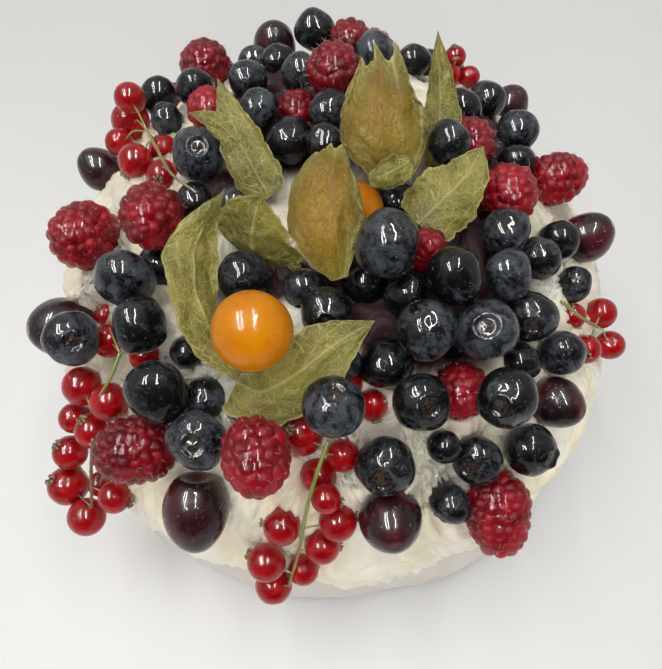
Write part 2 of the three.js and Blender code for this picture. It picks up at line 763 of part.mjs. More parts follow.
// The cream: rings of 6, 12, 18 and more points on top, then the side, the lip and the underside
function creamGeometry(pressers) {
  const points = [new THREE.Vector3(0, 0, moundHeight(0, 0))];
  const inwards = [new THREE.Vector3(0, 0, -1)];
  const starts = [0];
  for (let ring = 1; ring <= CREAM_RINGS; ring += 1) {
    starts.push(points.length);
    for (let j = 0; j < 6 * ring; j += 1) {
      const angle = (2 * Math.PI * j) / (6 * ring);
      const r = (creamRim(angle) * ring) / CREAM_RINGS;
      const x = r * Math.cos(angle);
      const y = r * Math.sin(angle);
      points.push(new THREE.Vector3(x, y, moundHeight(x, y) + creamRelief(x, y)));
      inwards.push(moundNormal(x, y).negate());
    }
  }
  const indices = [];
  for (let ring = 1; ring <= CREAM_RINGS; ring += 1) {
    indices.push(...ringBand(starts[ring - 1], ring - 1, starts[ring], ring));
  }
  const sides = 6 * CREAM_RINGS;
  const rim = starts[CREAM_RINGS];
  const still = new THREE.Vector3();
  const levels = points.slice(rim).map((edge, j) => sideLevels((2 * Math.PI * j) / sides, edge));
  for (let level = 0; level < levels[0].length; level += 1) {
    levels.forEach((places, j) => {
      const angle = (2 * Math.PI * j) / sides;
      const [r, z] = places[level];
      points.push(new THREE.Vector3(r * Math.cos(angle), r * Math.sin(angle), z));
      inwards.push(level === 0 ? new THREE.Vector3(-Math.cos(angle), -Math.sin(angle), 0) : still);
    });
  }
  const last = rim + levels[0].length * sides;
  points.push(new THREE.Vector3(0, 0, MERINGUE_HEIGHT + GAP));
  inwards.push(still);
  for (let j = 0; j < sides; j += 1) {
    const next = (j + 1) % sides;
    for (let high = rim; high < last; high += sides) {
      const low = high + sides;
      indices.push(high + j, low + j, low + next, high + j, low + next, high + next);
    }
    indices.push(last + next, last + j, points.length - 1);
  }
  pressCream(points, inwards, indices, pressers);
  return faceOut(indexedGeometry(points.flatMap((point) => [point.x, point.y, point.z]), indices));
}

// Radius and height of the cream below its rim: side, lip, inside of the lip, underside
function sideLevels(angle, edge) {
  const lip = LIP_HEIGHT - LIP_DROOP * Math.max(0, Math.sin(-angle + 0.3 * Math.sin(7 * angle)));
  const rim = Math.hypot(edge.x, edge.y);
  const [, bulge, lobe] = MERINGUE_LEVELS[3];
  const meringue = bulge + lobe * meringueLobes(angle);
  const inside = meringue + LIP_CLEARANCE;
  const outside = Math.max(rim, inside + LIP_THICKNESS);
  return [
    [outside + SIDE_BULGE, THREE.MathUtils.lerp(edge.z, lip, SIDE_MIDDLE)],
    [outside, lip],
    [inside, lip + LIP_CLEARANCE],
    [meringue - UNDERSIDE_INSET, MERINGUE_HEIGHT + LIP_CLEARANCE],
  ];
}

// Triangles between a ring of 6 x inner points and the next ring of 6 x outer points
function ringBand(innerStart, inner, outerStart, outer) {
  const triangles = [];
  for (let sector = 0; sector < 6; sector += 1) {
    for (let k = 0; k < outer; k += 1) {
      const a = outerStart + ((sector * outer + k) % (6 * outer));
      const b = outerStart + ((sector * outer + k + 1) % (6 * outer));
      const c = inner === 0 ? innerStart : innerStart + ((sector * inner + k) % (6 * inner));
      triangles.push(c, a, b);
      if (k < outer - 1) {
        const d = innerStart + ((sector * inner + k + 1) % (6 * inner));
        triangles.push(c, b, d);
      }
    }
  }
  return triangles;
}

// Larger berries get more sides
function berrySides(diameter) {
  const sides = Math.round(diameter / BERRY_SIDES_SIZE);
  return THREE.MathUtils.clamp(sides, BERRY_SIDES_LEAST, BERRY_SIDES_MOST);
}

function fruitGeometry(fruit) {
  switch (fruit.kind) {
    case "blueberry":
      return turnedGeometry(BLUEBERRY_PROFILE, berrySides(2 * fruit.radius), fruit.radius);
    case "currant":
      return turnedGeometry(CURRANT_PROFILE, BERRY_SIDES_LEAST, fruit.radius);
    case "physalis":
      return turnedGeometry(PHYSALIS_PROFILE, PHYSALIS_SIDES, fruit.radius);
    case "raspberry":
      return longFruitGeometry(fruit, RASPBERRY_RINGS, RASPBERRY_TAPER, HALF_STEP);
    default:
      return longFruitGeometry(fruit, CHERRY_RINGS, CHERRY_TAPER, 0);
  }
}

function placedFruit(fruit) {
  return standAlong(fruitGeometry(fruit), fruit.axis, fruit.place);
}

// Short bars that tie balls together along the shortest gaps between them. The anchors
// are already one piece.
function tieTogether(balls, anchors, radius) {
  const tied = anchors.length > 0 ? [...anchors] : [balls[0]];
  const loose = anchors.length > 0 ? [...balls] : balls.slice(1);
  const bars = [];
  while (loose.length > 0) {
    let best = { gap: Infinity };
    for (const from of tied) {
      for (const to of loose) {
        const gap = from.place.distanceTo(to.place) - from.radius - to.radius;
        if (gap < best.gap) {
          best = { gap, from, to };
        }
      }
    }
    const { from, to } = best;
    const along = to.place.clone().sub(from.place).normalize();
    const start = from.place.clone().addScaledVector(along, (from.radius - radius) * BRIDGE_DEPTH);
    const end = to.place.clone().addScaledVector(along, -to.radius * BRIDGE_DEPTH);
    bars.push(barGeometry(start, end, radius, BAR_SIDES));
    tied.push(to);
    loose.splice(loose.indexOf(to), 1);
  }
  return bars;
}

function bunchGap(first, second) {
  let gap = Infinity;
  for (const a of first) {
    for (const b of second) {
      gap = Math.min(gap, a.place.distanceTo(b.place) - a.radius - b.radius);
    }
  }
  return gap;
}

// Merges the closest blueberries, step by step, until BUNCH_COUNT bunches are left
function gatherBunches(berries) {
  const bunches = berries.map((berry) => [berry]);
  while (bunches.length > BUNCH_COUNT) {
    let best = { gap: Infinity };
    for (let i = 0; i < bunches.length; i += 1) {
      for (let j = i + 1; j < bunches.length; j += 1) {
        const gap = bunchGap(bunches[i], bunches[j]);
        if (gap < best.gap && bunches[i].length + bunches[j].length <= BUNCH_LIMIT) {
          best = { gap, i, j };
        }
      }
    }
    bunches[best.i].push(...bunches[best.j]);
    bunches.splice(best.j, 1);
  }
  return bunches;
}

function bunchGeometry(bunch) {
  return joinAll([...bunch.map(placedFruit), ...tieTogether(bunch, [], BRIDGE_RADIUS)]);
}

function stalkPoints(stalk) {
  return smoothCurve(stalk).getPoints(STALK_STEPS);
}

// Places all along a stalk, between its bends too
function placesAlong(points) {
  const steps = Array.from({ length: PLACES_PER_BEND + 1 }, (_, k) => k / PLACES_PER_BEND);
  return points.slice(1).flatMap((to, index) => steps.map((t) => points[index].clone().lerp(to, t)));
}

// Small balls along a stalk, for currants to be tied to
function stalkBalls(stalk) {
  return placesAlong(stalkPoints(stalk)).map((place) => ({ place, radius: STALK_RADIUS / 2 }));
}

// A stalk as one bent bar
function stalkGeometry(stalk) {
  const points = stalkPoints(stalk);
  const rings = points.map((point, i) => {
    const before = points[Math.max(i - 1, 0)];
    const after = points[Math.min(i + 1, STALK_STEPS)];
    const along = after.clone().sub(before).normalize();
    const turn = new THREE.Quaternion().setFromUnitVectors(new THREE.Vector3(0, 0, 1), along);
    return Array.from({ length: STALK_SIDES }, (_, j) => {
      const angle = (2 * Math.PI * j) / STALK_SIDES;
      const corner = new THREE.Vector3(Math.cos(angle), Math.sin(angle), 0);
      return corner.multiplyScalar(STALK_RADIUS).applyQuaternion(turn).add(point);
    });
  });
  return ringStack(rings, points[0], points[STALK_STEPS]);
}

// Currants joined to their stalk
function strigGeometry(stalk, berries) {
  return joinAll([
    ...berries.map(placedFruit),
    stalkGeometry(stalk),
    ...tieTogether(berries, stalkBalls(stalk), STALK_RADIUS),
  ]);
}

// The petals of one husk, joined at a small root where it has more than one
function huskGeometry({ petals, root }) {
  const shells = petals.map((petal) => faceOut(petalGeometry(petal)));
  if (root) {
    const ball = turnedGeometry(CURRANT_PROFILE, BERRY_SIDES_LEAST, HUSK_ROOT_RADIUS);
    shells.push(ball.translate(...root));
  }
  return shells.length === 1 ? shells[0] : joinAll(shells);
}

// Points all over the husks that fruit and cream keep clear of
function huskPoints() {
  const along = 14;
  const across = 4;
  return HUSKS.flatMap(({ petals }) => petals.flatMap((petal) => {
    const curve = smoothCurve(petal.spine);
    const points = [];
    for (let i = 0; i <= along; i += 1) {
      for (let j = -across; j <= across; j += 1) {
        points.push(petalPoint(petal, curve, i / along, j / across, 0));
      }
    }
    return points;
  }));
}

function makeMesh(name, geometry, material) {
  const mesh = new THREE.Mesh(geometry, material);
  mesh.name = name;
  return mesh;
}

// A fruit of its own, built round its axis and then placed and turned
function fruitMesh(fruit) {
  const mesh = makeMesh(`${fruit.kind}_${fruit.name}`, fruitGeometry(fruit), materials[fruit.kind]);
  mesh.position.copy(fruit.place);
  mesh.quaternion.setFromUnitVectors(new THREE.Vector3(0, 0, 1), fruit.axis);
  return mesh;
}

function buildCake() {
  const fruits = [
    ...listBlueberries(),
    ...listLongFruit("raspberry", RASPBERRIES),
    ...listLongFruit("cherry", CHERRIES),
    ...listCurrants(),
    ...listPhysalis(),
  ];
  const huskObstacles = huskPoints().map((point) => {
    return { point, clearance: HUSK_CLEARANCE, stalk: null };
  });
  const stalkObstacles = CURRANTS.flatMap(({ name, stalk }) => stalkBalls(stalk).map(({ place }) => {
    return { point: place, clearance: STALK_RADIUS + GAP, stalk: name };
  }));
  settle(fruits, [...huskObstacles, ...stalkObstacles]);

  const pressers = fruits.flatMap((fruit) => {
    return ballsOf(fruit).map((ball) => ({ ball, radius: fruit.radius + GAP }));
  });
  [...huskObstacles, ...stalkObstacles].forEach(({ point, clearance }) => {
    pressers.push({ ball: point, radius: clearance + GAP });
  });
  const bunches = gatherBunches(fruits.filter(({ kind }) => kind === "blueberry"));
  const strigs = CURRANTS.map(({ name, stalk }) => {
    return { name, stalk, berries: fruits.filter((fruit) => fruit.stalk === name) };
  });
  const singles = fruits.filter(({ kind }) => ["raspberry", "cherry", "physalis"].includes(kind));

  const cake = new THREE.Group();
  cake.add(makeMesh("meringue", meringueGeometry(), materials.meringue));
  cake.add(makeMesh("cream", creamGeometry(pressers), materials.cream));

  const topping = new THREE.Group();
  cake.add(topping);
  bunches.forEach((bunch, index) => {
    const number = String(index + 1).padStart(2, "0");
    topping.add(makeMesh(`blueberries_${number}`, bunchGeometry(bunch), materials.blueberry));
  });
  strigs.forEach(({ name, stalk, berries }) => {
    topping.add(makeMesh(`currants_${name}`, strigGeometry(stalk, berries), materials.currant));
  });
  singles.forEach((fruit) => topping.add(fruitMesh(fruit)));
  HUSKS.forEach((husk) => {
    topping.add(makeMesh(`husk_${husk.name}`, huskGeometry(husk), materials.husk));
  });
  return cake;
}

export default buildCake();
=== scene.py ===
"""A pavlova cake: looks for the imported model.

Metres, +Z up, -Y towards the camera. Every fruit is read from its CAD node, so it lies where the
node is. One finely modelled piece stands for each node; hairs, stalks and dried flowers are added.
"""
import math

import bpy
import numpy as np
from mathutils import Matrix, Vector


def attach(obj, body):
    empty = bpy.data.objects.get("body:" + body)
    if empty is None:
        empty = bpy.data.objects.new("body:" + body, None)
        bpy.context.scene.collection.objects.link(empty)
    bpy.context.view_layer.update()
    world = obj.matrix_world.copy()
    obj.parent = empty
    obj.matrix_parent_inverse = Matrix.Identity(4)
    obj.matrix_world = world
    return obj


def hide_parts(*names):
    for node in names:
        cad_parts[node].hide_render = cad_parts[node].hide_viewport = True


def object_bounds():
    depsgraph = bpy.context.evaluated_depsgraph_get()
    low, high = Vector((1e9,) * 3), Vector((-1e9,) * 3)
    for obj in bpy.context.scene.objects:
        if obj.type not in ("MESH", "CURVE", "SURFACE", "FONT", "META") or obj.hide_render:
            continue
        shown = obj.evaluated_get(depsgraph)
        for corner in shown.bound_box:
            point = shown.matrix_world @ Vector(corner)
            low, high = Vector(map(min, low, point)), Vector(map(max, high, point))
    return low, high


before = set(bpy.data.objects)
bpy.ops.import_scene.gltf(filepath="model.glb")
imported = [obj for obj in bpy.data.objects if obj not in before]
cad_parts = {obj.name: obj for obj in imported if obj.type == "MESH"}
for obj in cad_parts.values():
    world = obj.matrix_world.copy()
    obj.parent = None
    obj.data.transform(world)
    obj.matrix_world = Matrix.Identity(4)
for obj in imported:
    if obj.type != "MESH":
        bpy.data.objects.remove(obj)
CAD_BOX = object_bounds()

MM = 0.001
TAU = 2 * math.pi
DEG = math.pi / 180
RANDOM_SEED = 2764
WARM_WHITE = (1.0, 0.985, 0.955)
scene = bpy.context.scene

# Camera: place, elevation it looks down from, roll and focal length
CAMERA_PLACE = Vector((-0.77, -131.45, 250.8)) * MM
CAMERA_ELEVATION = 60.76 * DEG
CAMERA_ROLL = -5.744 * DEG
SENSOR = 36.0
FOCAL_PIXELS = 664
PHOTO_HEIGHT = 669

# Studio: the dark side of the surroundings, and the places of the lights across and over the cake
VIEWER_SIDE = (0.08, -0.89, 0.45)
LIGHT_HEIGHT = 1.35
TUBES = (-0.60, -0.15, 0.50)
STRIPS = (-0.70, -0.46, 0.30)

# The poles of the CAD's round fruit, in parts of the radius: the radius and height of the ring of
# points round a pole, and the height of the pole
BLUEBERRY_ENDS = ((0.72, -0.63, -0.9), (0.38, 0.84, 0.66))
CURRANT_ENDS = ((0.76, 0.62, 0.97),)
PHYSALIS_ENDS = ((0.62, -0.76, -0.97), (0.74, 0.64, 0.96))
# The CAD's raspberries and cherries: heights of both ends in parts of the length, and how much of
# the radius their facets reach
LONG_FRUIT_TIP = 0.485
LONG_FRUIT_HOLLOW = -0.38
LONG_FRUIT_WAIST = 0.93
# How close points must lie to count as one, and how much a ring round a pole may be uneven
WELD = 0.002 * MM
ROUND_POLE_PLAY = 0.02 * MM
LONG_POLE_PLAY = 2 * MM
# Fruit that shows no pole is a ball fitted to at least so many points of its skin, which lie this
# close to it in parts of the radius. Flat facets make the ball too small, so it is made larger by
# its size factor; only radii between the two given count, and the fruit is turned along the axis
FEWEST_POINTS = 9
SKIN_PLAY = 0.09
CUT_BALL_SIZE = 1.06
CUT_BALL_RADII = (3 * MM, 10 * MM)
CUT_BALL_AXIS = np.array([0.0, 0.25, -0.97])

# Distance of a raspberry's drupelets, and how far the glaze evens out the beads under it
DRUPELET_PITCH = 3.8 * MM
GLAZE_SHARE = 0.62

# Cream mound and its edge
MOUND_TOP = 92 * MM
MOUND_FALL = 45 * MM
MOUND_REACH = 97 * MM
BACK_RISE = 12 * MM
RIM_RADIUS = 96 * MM
LIP_HEIGHT = 32 * MM
LIP_DROOP = 4 * MM
UNDERSIDE = 34.8 * MM
WIDEST = 97.5 * MM
# Where fruit lies two deep on the heap, with painted shade between it: x, y and reach in millimetres
HEAPS = ((27, -22, 36), (-17, -4, 30), (12, 40, 44), (60, 24, 20))
# Places where the cream swells up between the fruit: x, y, reach and height in millimetres
SWELLS = ((16, -64, 13, 5), (-8, -78, 12, 3), (34, -74, 12, 3))

# Seeds of the husk petals, one after the other
FIRST_PETAL_SEED = 3
PETAL_SEED_STEP = 5
PLAIN_PETAL = {"blunt": 0.15, "open": 0.0, "swell": 1.0, "ripe": 0.0, "ribs": (0.0,),
               "crown": ((-1, 0.97), (-0.5, 0.99), (0, 1), (0.5, 0.99), (1, 0.97))}


def petal(spine, width, wrap, face, **changes):
    """A husk petal as in the CAD solids.

    The spine runs along the mid vein from root to tip, wrap is the angle that the cross-section
    curls through and face the side that the vein shows on. Blunt and open are how wide the root
    and the tip stay, and swell above 1 moves the widest place up. Crown is how far up the petal
    ends at places across it, ribs are where long veins run, and ripe is how golden it has turned.
    """
    return {**PLAIN_PETAL, "spine": np.array(spine) * MM, "width": width, "wrap": wrap, "face": face,
            **changes}


HUSKS = {
    "front": [
        petal([(-26, -51, 91), (-32, -43, 97), (-35, -33, 105), (-34, -22, 111), (-25, -9, 117)],
              16, 60, (0.7, -0.35, 0.6), blunt=0.06),
        petal([(-27, -54, 92), (-20, -59, 95), (-10, -57, 100), (1, -52, 105), (11, -48, 107)],
              20, 45, (0.1, -0.4, 0.9), blunt=0.24)],
    "broad": [
        petal([(-20, -16, 92), (-20, -18, 100), (-19, -18, 109), (-15, -15, 121)],
              29, 50, (-0.45, -0.8, 0.35), blunt=0.25)],
    "middle": [
        petal([(3, -32, 103), (1, -26, 112), (1, -17, 117), (3, -6, 119), (5, 4, 117)],
              28, 150, (0, -0.35, 0.9), blunt=0.03, open=0.14, swell=1.35, ripe=1.0,
              ribs=(-0.58, 0.14, 0.66),
              crown=((-1, 0.76), (-0.62, 0.86), (-0.2, 0.92), (-0.02, 1.0), (0.10, 0.92),
                     (0.40, 1.03), (0.50, 0.88), (1, 0.72)))],
    "curl": [
        petal([(14, -6, 111), (19, -7, 114), (24, -4, 114), (27, 1, 111)],
              9, 90, (0, -0.6, 0.8), blunt=0.1)],
    "back": [
        petal([(22, -2, 106), (21, 4, 116), (20, 14, 121), (21, 26, 124), (20, 33, 126)],
              34, 150, (0, -0.4, 0.9), blunt=0.06, open=0.16, ripe=0.75,
              ribs=(-0.62, -0.12, 0.3, 0.75),
              crown=((-1, 0.68), (-0.66, 0.8), (-0.5, 0.93), (-0.42, 0.8), (-0.2, 0.86),
                     (-0.06, 1.0), (0.1, 0.84), (0.34, 0.86), (0.56, 0.97), (0.64, 0.8), (1, 0.66)))],
    "tall": [
        petal([(36, 8, 99), (38, 17, 105), (39, 27, 114), (39, 37, 124)],
              12, 60, (-0.5, -0.6, 0.5), swell=0.8)],
    "right": [
        petal([(27, -14, 100), (34, -10, 104), (41, -6, 109), (47, 1, 113)],
              20, 55, (-0.15, -0.4, 0.9), blunt=0.22, swell=0.8)],
    "left": [
        petal([(-15, 4, 97), (-19, 11, 103), (-23, 21, 109), (-27, 36, 116)],
              15, 50, (-0.1, -0.5, 0.85), swell=0.66),
        petal([(-19, 12, 104), (-24, 19, 108), (-30, 24, 111), (-37, 27, 112)],
              8, 40, (-0.1, -0.4, 0.9), blunt=0.1, swell=0.8)],
}

# Stalks that the currants hang on, and how brown each has dried
STALKS = {
    "front": ([(-4, -72, 90), (-8, -79, 85), (-12, -86, 76), (-15, -92, 64), (-20, -100, 50)], 0.1),
    "left": ([(-60, -40, 89), (-64, -46, 85), (-71, -51, 78)], 0.1),
    "left_edge": ([(-73, -57, 70), (-76, -63, 62), (-79, -69, 52), (-81, -74, 46)], 0.9),
    "back_left": ([(-54, 38, 96), (-50, 28, 98), (-44, 13, 102), (-36, 4, 102)], 0.2),
    "back_right": ([(52, 63, 92), (55, 68, 88), (57, 72, 82)], 0.4),
    "right": ([(66, -36, 86), (73, -38, 79), (79, -38, 73)], 0.2),
    "middle": ([(3, -53, 88), (6, -56, 86), (8, -58, 85)], 0.5),
}
# Where some currants turn their dried flower, and how many of them do
UPWARD = np.array([0, -0.5, 1.6])
UPWARD_SHARE = 0.4


# Arrays and shapes

def unit(vector):
    vector = np.asarray(vector, float)
    return vector / np.linalg.norm(vector, axis=-1, keepdims=True)


def distance(points, place):
    return np.linalg.norm(points - place, axis=-1)


def off_axis(points):
    """Distance of points from the Z axis."""
    return np.hypot(points[:, 0], points[:, 1])


def smoothstep(low, high, value):
    t = np.clip((value - low) / (high - low), 0, 1)
    return t * t * (3 - 2 * t)


def bell(value, width):
    """1 at 0, falling off smoothly over the width."""
    return np.exp(-(value / width) ** 2)


def ripple(points, pitch, seed, waves=9):
    """Smooth random relief between about -1 and 1, with hills about pitch apart."""
    rng = np.random.default_rng(seed)
    directions = unit(rng.normal(size=(waves, 3)))
    pitches = pitch * rng.uniform(0.7, 1.5, waves)
    shifts = rng.uniform(0, TAU, waves)
    phases = points @ (directions * TAU / pitches[:, None]).T + shifts
    return np.sin(phases).sum(axis=1) / math.sqrt(waves)


def dented(points, rng, *layers):
    """Points moved out and in by ripples, each layer a height and a pitch."""
    seed = int(rng.integers(1 << 30))
    dents = sum(height * ripple(points, pitch, seed + k) for k, (height, pitch) in enumerate(layers))
    return points * (1 + dents[:, None])


def circle(count):
    return np.arange(count) * TAU / count


def globe(polar, columns):
    """Grids of the angle from +Z and of the angle round Z."""
    return np.meshgrid(polar, circle(columns), indexing="ij")


def around(radius, angle, height):
    """Points at these distances from the Z axis, angles round it and heights."""
    x, y, z = np.broadcast_arrays(radius * np.cos(angle), radius * np.sin(angle), height)
    return np.stack([x, y, z], axis=-1).reshape(-1, 3)


def grid_faces(rows, columns, wrap=True):
    """Quads of a grid of rows x columns points, closed round its columns if wrap."""
    row, column = np.meshgrid(np.arange(rows - 1), np.arange(columns if wrap else columns - 1),
                              indexing="ij")
    a = row * columns + column
    b = row * columns + (column + 1) % columns
    return np.stack([a, b, b + columns, a + columns], axis=-1).reshape(-1, 4)


def closed_faces(rows, columns):
    """Faces of a closed grid whose first and last rows are small rings, each shut by one face."""
    first = np.arange(columns)[::-1]
    last = (rows - 1) * columns + np.arange(columns)
    return [grid_faces(rows, columns), first[None, :], last[None, :]]


def shape(points, faces, **attributes):
    return {"points": points, "faces": faces, "attributes": attributes}


def joined(shapes):
    """One shape made of several that carry the same attributes."""
    faces = []
    start = 0
    for item in shapes:
        faces += [face + start for face in item["faces"]]
        start += len(item["points"])
    attributes = {key: np.concatenate([item["attributes"][key] for item in shapes])
                  for key in shapes[0]["attributes"]}
    return shape(np.concatenate([item["points"] for item in shapes]), faces, **attributes)


def tube(path, radii, columns):
    """A round tube along a path of points."""
    path = np.asarray(path, float)
    tangents = unit(np.gradient(path, axis=0))
    side = unit(np.cross(tangents[0], [0.3, 0.5, 0.81]))
    turn = circle(columns)[:, None]
    rings = []
    for place, tangent, radius in zip(path, tangents, np.broadcast_to(radii, len(path))):
        side = unit(side - tangent * (side @ tangent))
        rings.append(place + radius * (np.cos(turn) * side + np.sin(turn) * np.cross(tangent, side)))
    return np.concatenate(rings), closed_faces(len(path), columns)


def smooth_through(controls, t):
    """Points of a smooth curve through rows of control points, at the places t along the rows."""
    before, after = 2 * controls[:1] - controls[1:2], 2 * controls[-1:] - controls[-2:-1]
    padded = np.concatenate([before, controls, after])
    index = np.minimum(t.astype(int), len(controls) - 2)
    f = (t - index).reshape(-1, *[1] * (controls.ndim - 1))
    p0, p1, p2, p3 = (padded[index + k] for k in range(4))
    return 0.5 * (2 * p1 + (p2 - p0) * f + (2 * p0 - 5 * p1 + 4 * p2 - p3) * f ** 2
                  + (3 * p1 - p0 - 3 * p2 + p3) * f ** 3)


def sampled(curve, marks, at):
    """A curve whose rows lie at marks, read at other places."""
    return np.stack([np.interp(at, marks, column) for column in curve.T], axis=-1)


def curve_points(controls, count):
    """count points evenly spread along a smooth curve through the control points."""
    controls = np.asarray(controls, float)
    dense = smooth_through(controls, np.linspace(0, len(controls) - 1, 40 * len(controls)))
    length = np.concatenate([[0], np.cumsum(distance(dense[1:], dense[:-1]))])
    return sampled(dense, length, np.linspace(0, length[-1], count))


def frame_of(axis, spin):
    """3 x 3 matrix whose third column is axis, turned by spin round it."""
    axis = unit(axis)
    side = unit(np.cross(axis, [0.0, 0.0, 1.0] if abs(axis[2]) < 0.9 else [0.0, 1.0, 0.0]))
    across = math.cos(spin) * side + math.sin(spin) * np.cross(axis, side)
    return np.stack([across, np.cross(axis, across), axis], axis=1)


def placed(item, turn, place):
    """A shape turned by a 3 x 3 matrix and moved to its place, with its glaze directions."""
    attributes = dict(item["attributes"])
    if "glaze" in attributes:
        attributes["glaze"] = attributes["glaze"] @ turn.T
    return shape(item["points"] @ turn.T + place, item["faces"], **attributes)


def add_piece(name, item, material, nodes):
    """Makes a shape into a Blender object that stands for its CAD nodes, within the CAD's box."""
    mesh = bpy.data.meshes.new(name)
    faces = [face for block in item["faces"] for face in block.tolist()]
    mesh.from_pydata(np.clip(item["points"], *CAD_BOX).tolist(), [], faces)
    mesh.polygons.foreach_set("use_smooth", [True] * len(mesh.polygons))
    for key, values in item["attributes"].items():
        kind, field = ("FLOAT_VECTOR", "vector") if values.ndim == 2 else ("FLOAT", "value")
        mesh.attributes.new(key, kind, "POINT").data.foreach_set(field, values.ravel())
    mesh.materials.append(material)
    mesh.update()
    piece = bpy.data.objects.new(name, mesh)
    scene.collection.objects.link(piece)
    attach(piece, "root")
    if nodes:
        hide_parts(*nodes)


# Reading the fruit from the CAD nodes

def nodes_called(start):
    return sorted(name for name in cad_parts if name.startswith(start))


def node_mesh(name):
    """Welded points of a CAD node and the set of neighbours of each."""
    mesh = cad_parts[name].data
    places = np.empty(len(mesh.vertices) * 3)
    mesh.vertices.foreach_get("co", places)
    places = places.reshape(-1, 3)
    mesh.calc_loop_triangles()
    corners = np.empty(len(mesh.loop_triangles) * 3, int)
    mesh.loop_triangles.foreach_get("vertices", corners)
    _, first, inverse = np.unique(np.round(places / WELD), axis=0, return_index=True, return_inverse=True)
    points = places[first]
    neighbours = [set() for _ in points]
    for a, b, c in inverse.ravel()[corners].reshape(-1, 3):
        neighbours[a].update((b, c))
        neighbours[b].update((a, c))
        neighbours[c].update((a, b))
    return points, neighbours


def find_poles(points, neighbours, counts, play):
    """Points whose neighbours form a regular ring: (pole, ring middle, ring radius)."""
    poles = []
    for pole, around_it in zip(points, neighbours):
        ring = points[list(around_it)]
        if len(ring) not in counts:
            continue
        middle = ring.mean(axis=0)
        radii = distance(ring, middle)
        if np.ptp(distance(ring, pole)) < play and np.ptp(radii) < play:
            poles.append((pole, middle, radii.mean()))
    return poles


def ball(node, place, axis, radius):
    """A round fruit; half is how far the two balls of a longer fruit lie from its middle."""
    return {"node": node, "place": place, "axis": axis, "radius": radius, "half": 0.0}


def find_balls(node, counts, ends):
    """Every round fruit in a CAD node that still shows a pole."""
    fruits = []
    for pole, middle, ring_radius in find_poles(*node_mesh(node), counts, ROUND_POLE_PLAY):
        slope = np.linalg.norm(middle - pole) / ring_radius
        ring, ring_height, height = min(ends, key=lambda end: abs(abs(end[2] - end[1]) / end[0] - slope))
        radius = ring_radius / ring
        axis = unit(middle - pole) * np.sign(ring_height - height)
        place = pole - axis * height * radius
        if all(distance(place, other["place"]) > 1 * MM for other in fruits):
            fruits.append(ball(node, place, axis, radius))
    return fruits


def ball_through(points):
    """Middle and radius of the ball that passes closest to the points."""
    matrix = np.hstack([2 * points, np.ones((len(points), 1))])
    middle = np.linalg.lstsq(matrix, (points ** 2).sum(axis=1), rcond=None)[0][:3]
    return middle, distance(points, middle).mean()


def on_skin(points, middle, radius):
    """Which points lie close to a ball's skin."""
    return np.abs(distance(points, middle) - radius) < SKIN_PLAY * radius


def find_cut_balls(node, fruits, stalk=None):
    """Round fruit whose poles are both cut by ties: balls through surface that no fruit found owns."""
    known, stalk_reach, cleared = 1.04, 1.3 * MM, 1.25
    smallest, largest = CUT_BALL_RADII
    points, _ = node_mesh(node)
    for fruit in fruits:
        points = points[distance(points, fruit["place"]) > known * fruit["radius"]]
    if stalk is not None:
        points = points[distance(points[:, None], stalk).min(axis=1) > stalk_reach]
    found = []
    while len(points) >= FEWEST_POINTS:
        best, most = None, FEWEST_POINTS - 1
        for seed in points:
            middle, radius = ball_through(points[np.argsort(distance(points, seed))[:FEWEST_POINTS + 1]])
            count = on_skin(points, middle, radius).sum()
            if count > most and smallest < radius < largest:
                best, most = (middle, radius), count
        if best is None:
            break
        middle, radius = ball_through(points[on_skin(points, *best)])
        points = points[distance(points, middle) > cleared * radius]
        found.append(ball(node, middle, CUT_BALL_AXIS, radius * CUT_BALL_SIZE))
    return found


def find_long_fruit(node):
    """The raspberry or cherry in a CAD node."""
    points, neighbours = node_mesh(node)
    ends = {}
    for pole, middle, _ in find_poles(points, neighbours, (8,), LONG_POLE_PLAY):
        outwards = (pole - middle) @ (pole - points.mean(axis=0)) > 0
        ends["tip" if outwards else "hollow"] = pole
    span = ends["tip"] - ends["hollow"]
    axis = unit(span)
    length = np.linalg.norm(span) / (LONG_FRUIT_TIP - LONG_FRUIT_HOLLOW)
    place = ends["hollow"] - axis * LONG_FRUIT_HOLLOW * length
    away = points - place
    radius = distance(away, np.outer(away @ axis, axis)).max() / LONG_FRUIT_WAIST
    return {**ball(node, place, axis, radius), "length": length, "half": max(0.0, length / 2 - radius)}


def balls_of(fruits):
    """Middle and radius of the one or two balls that fill each fruit."""
    for fruit in fruits:
        reach = fruit["axis"] * fruit["half"]
        for middle in [reach, -reach] if fruit["half"] else [0]:
            yield fruit["place"] + middle, fruit["radius"]


# Materials

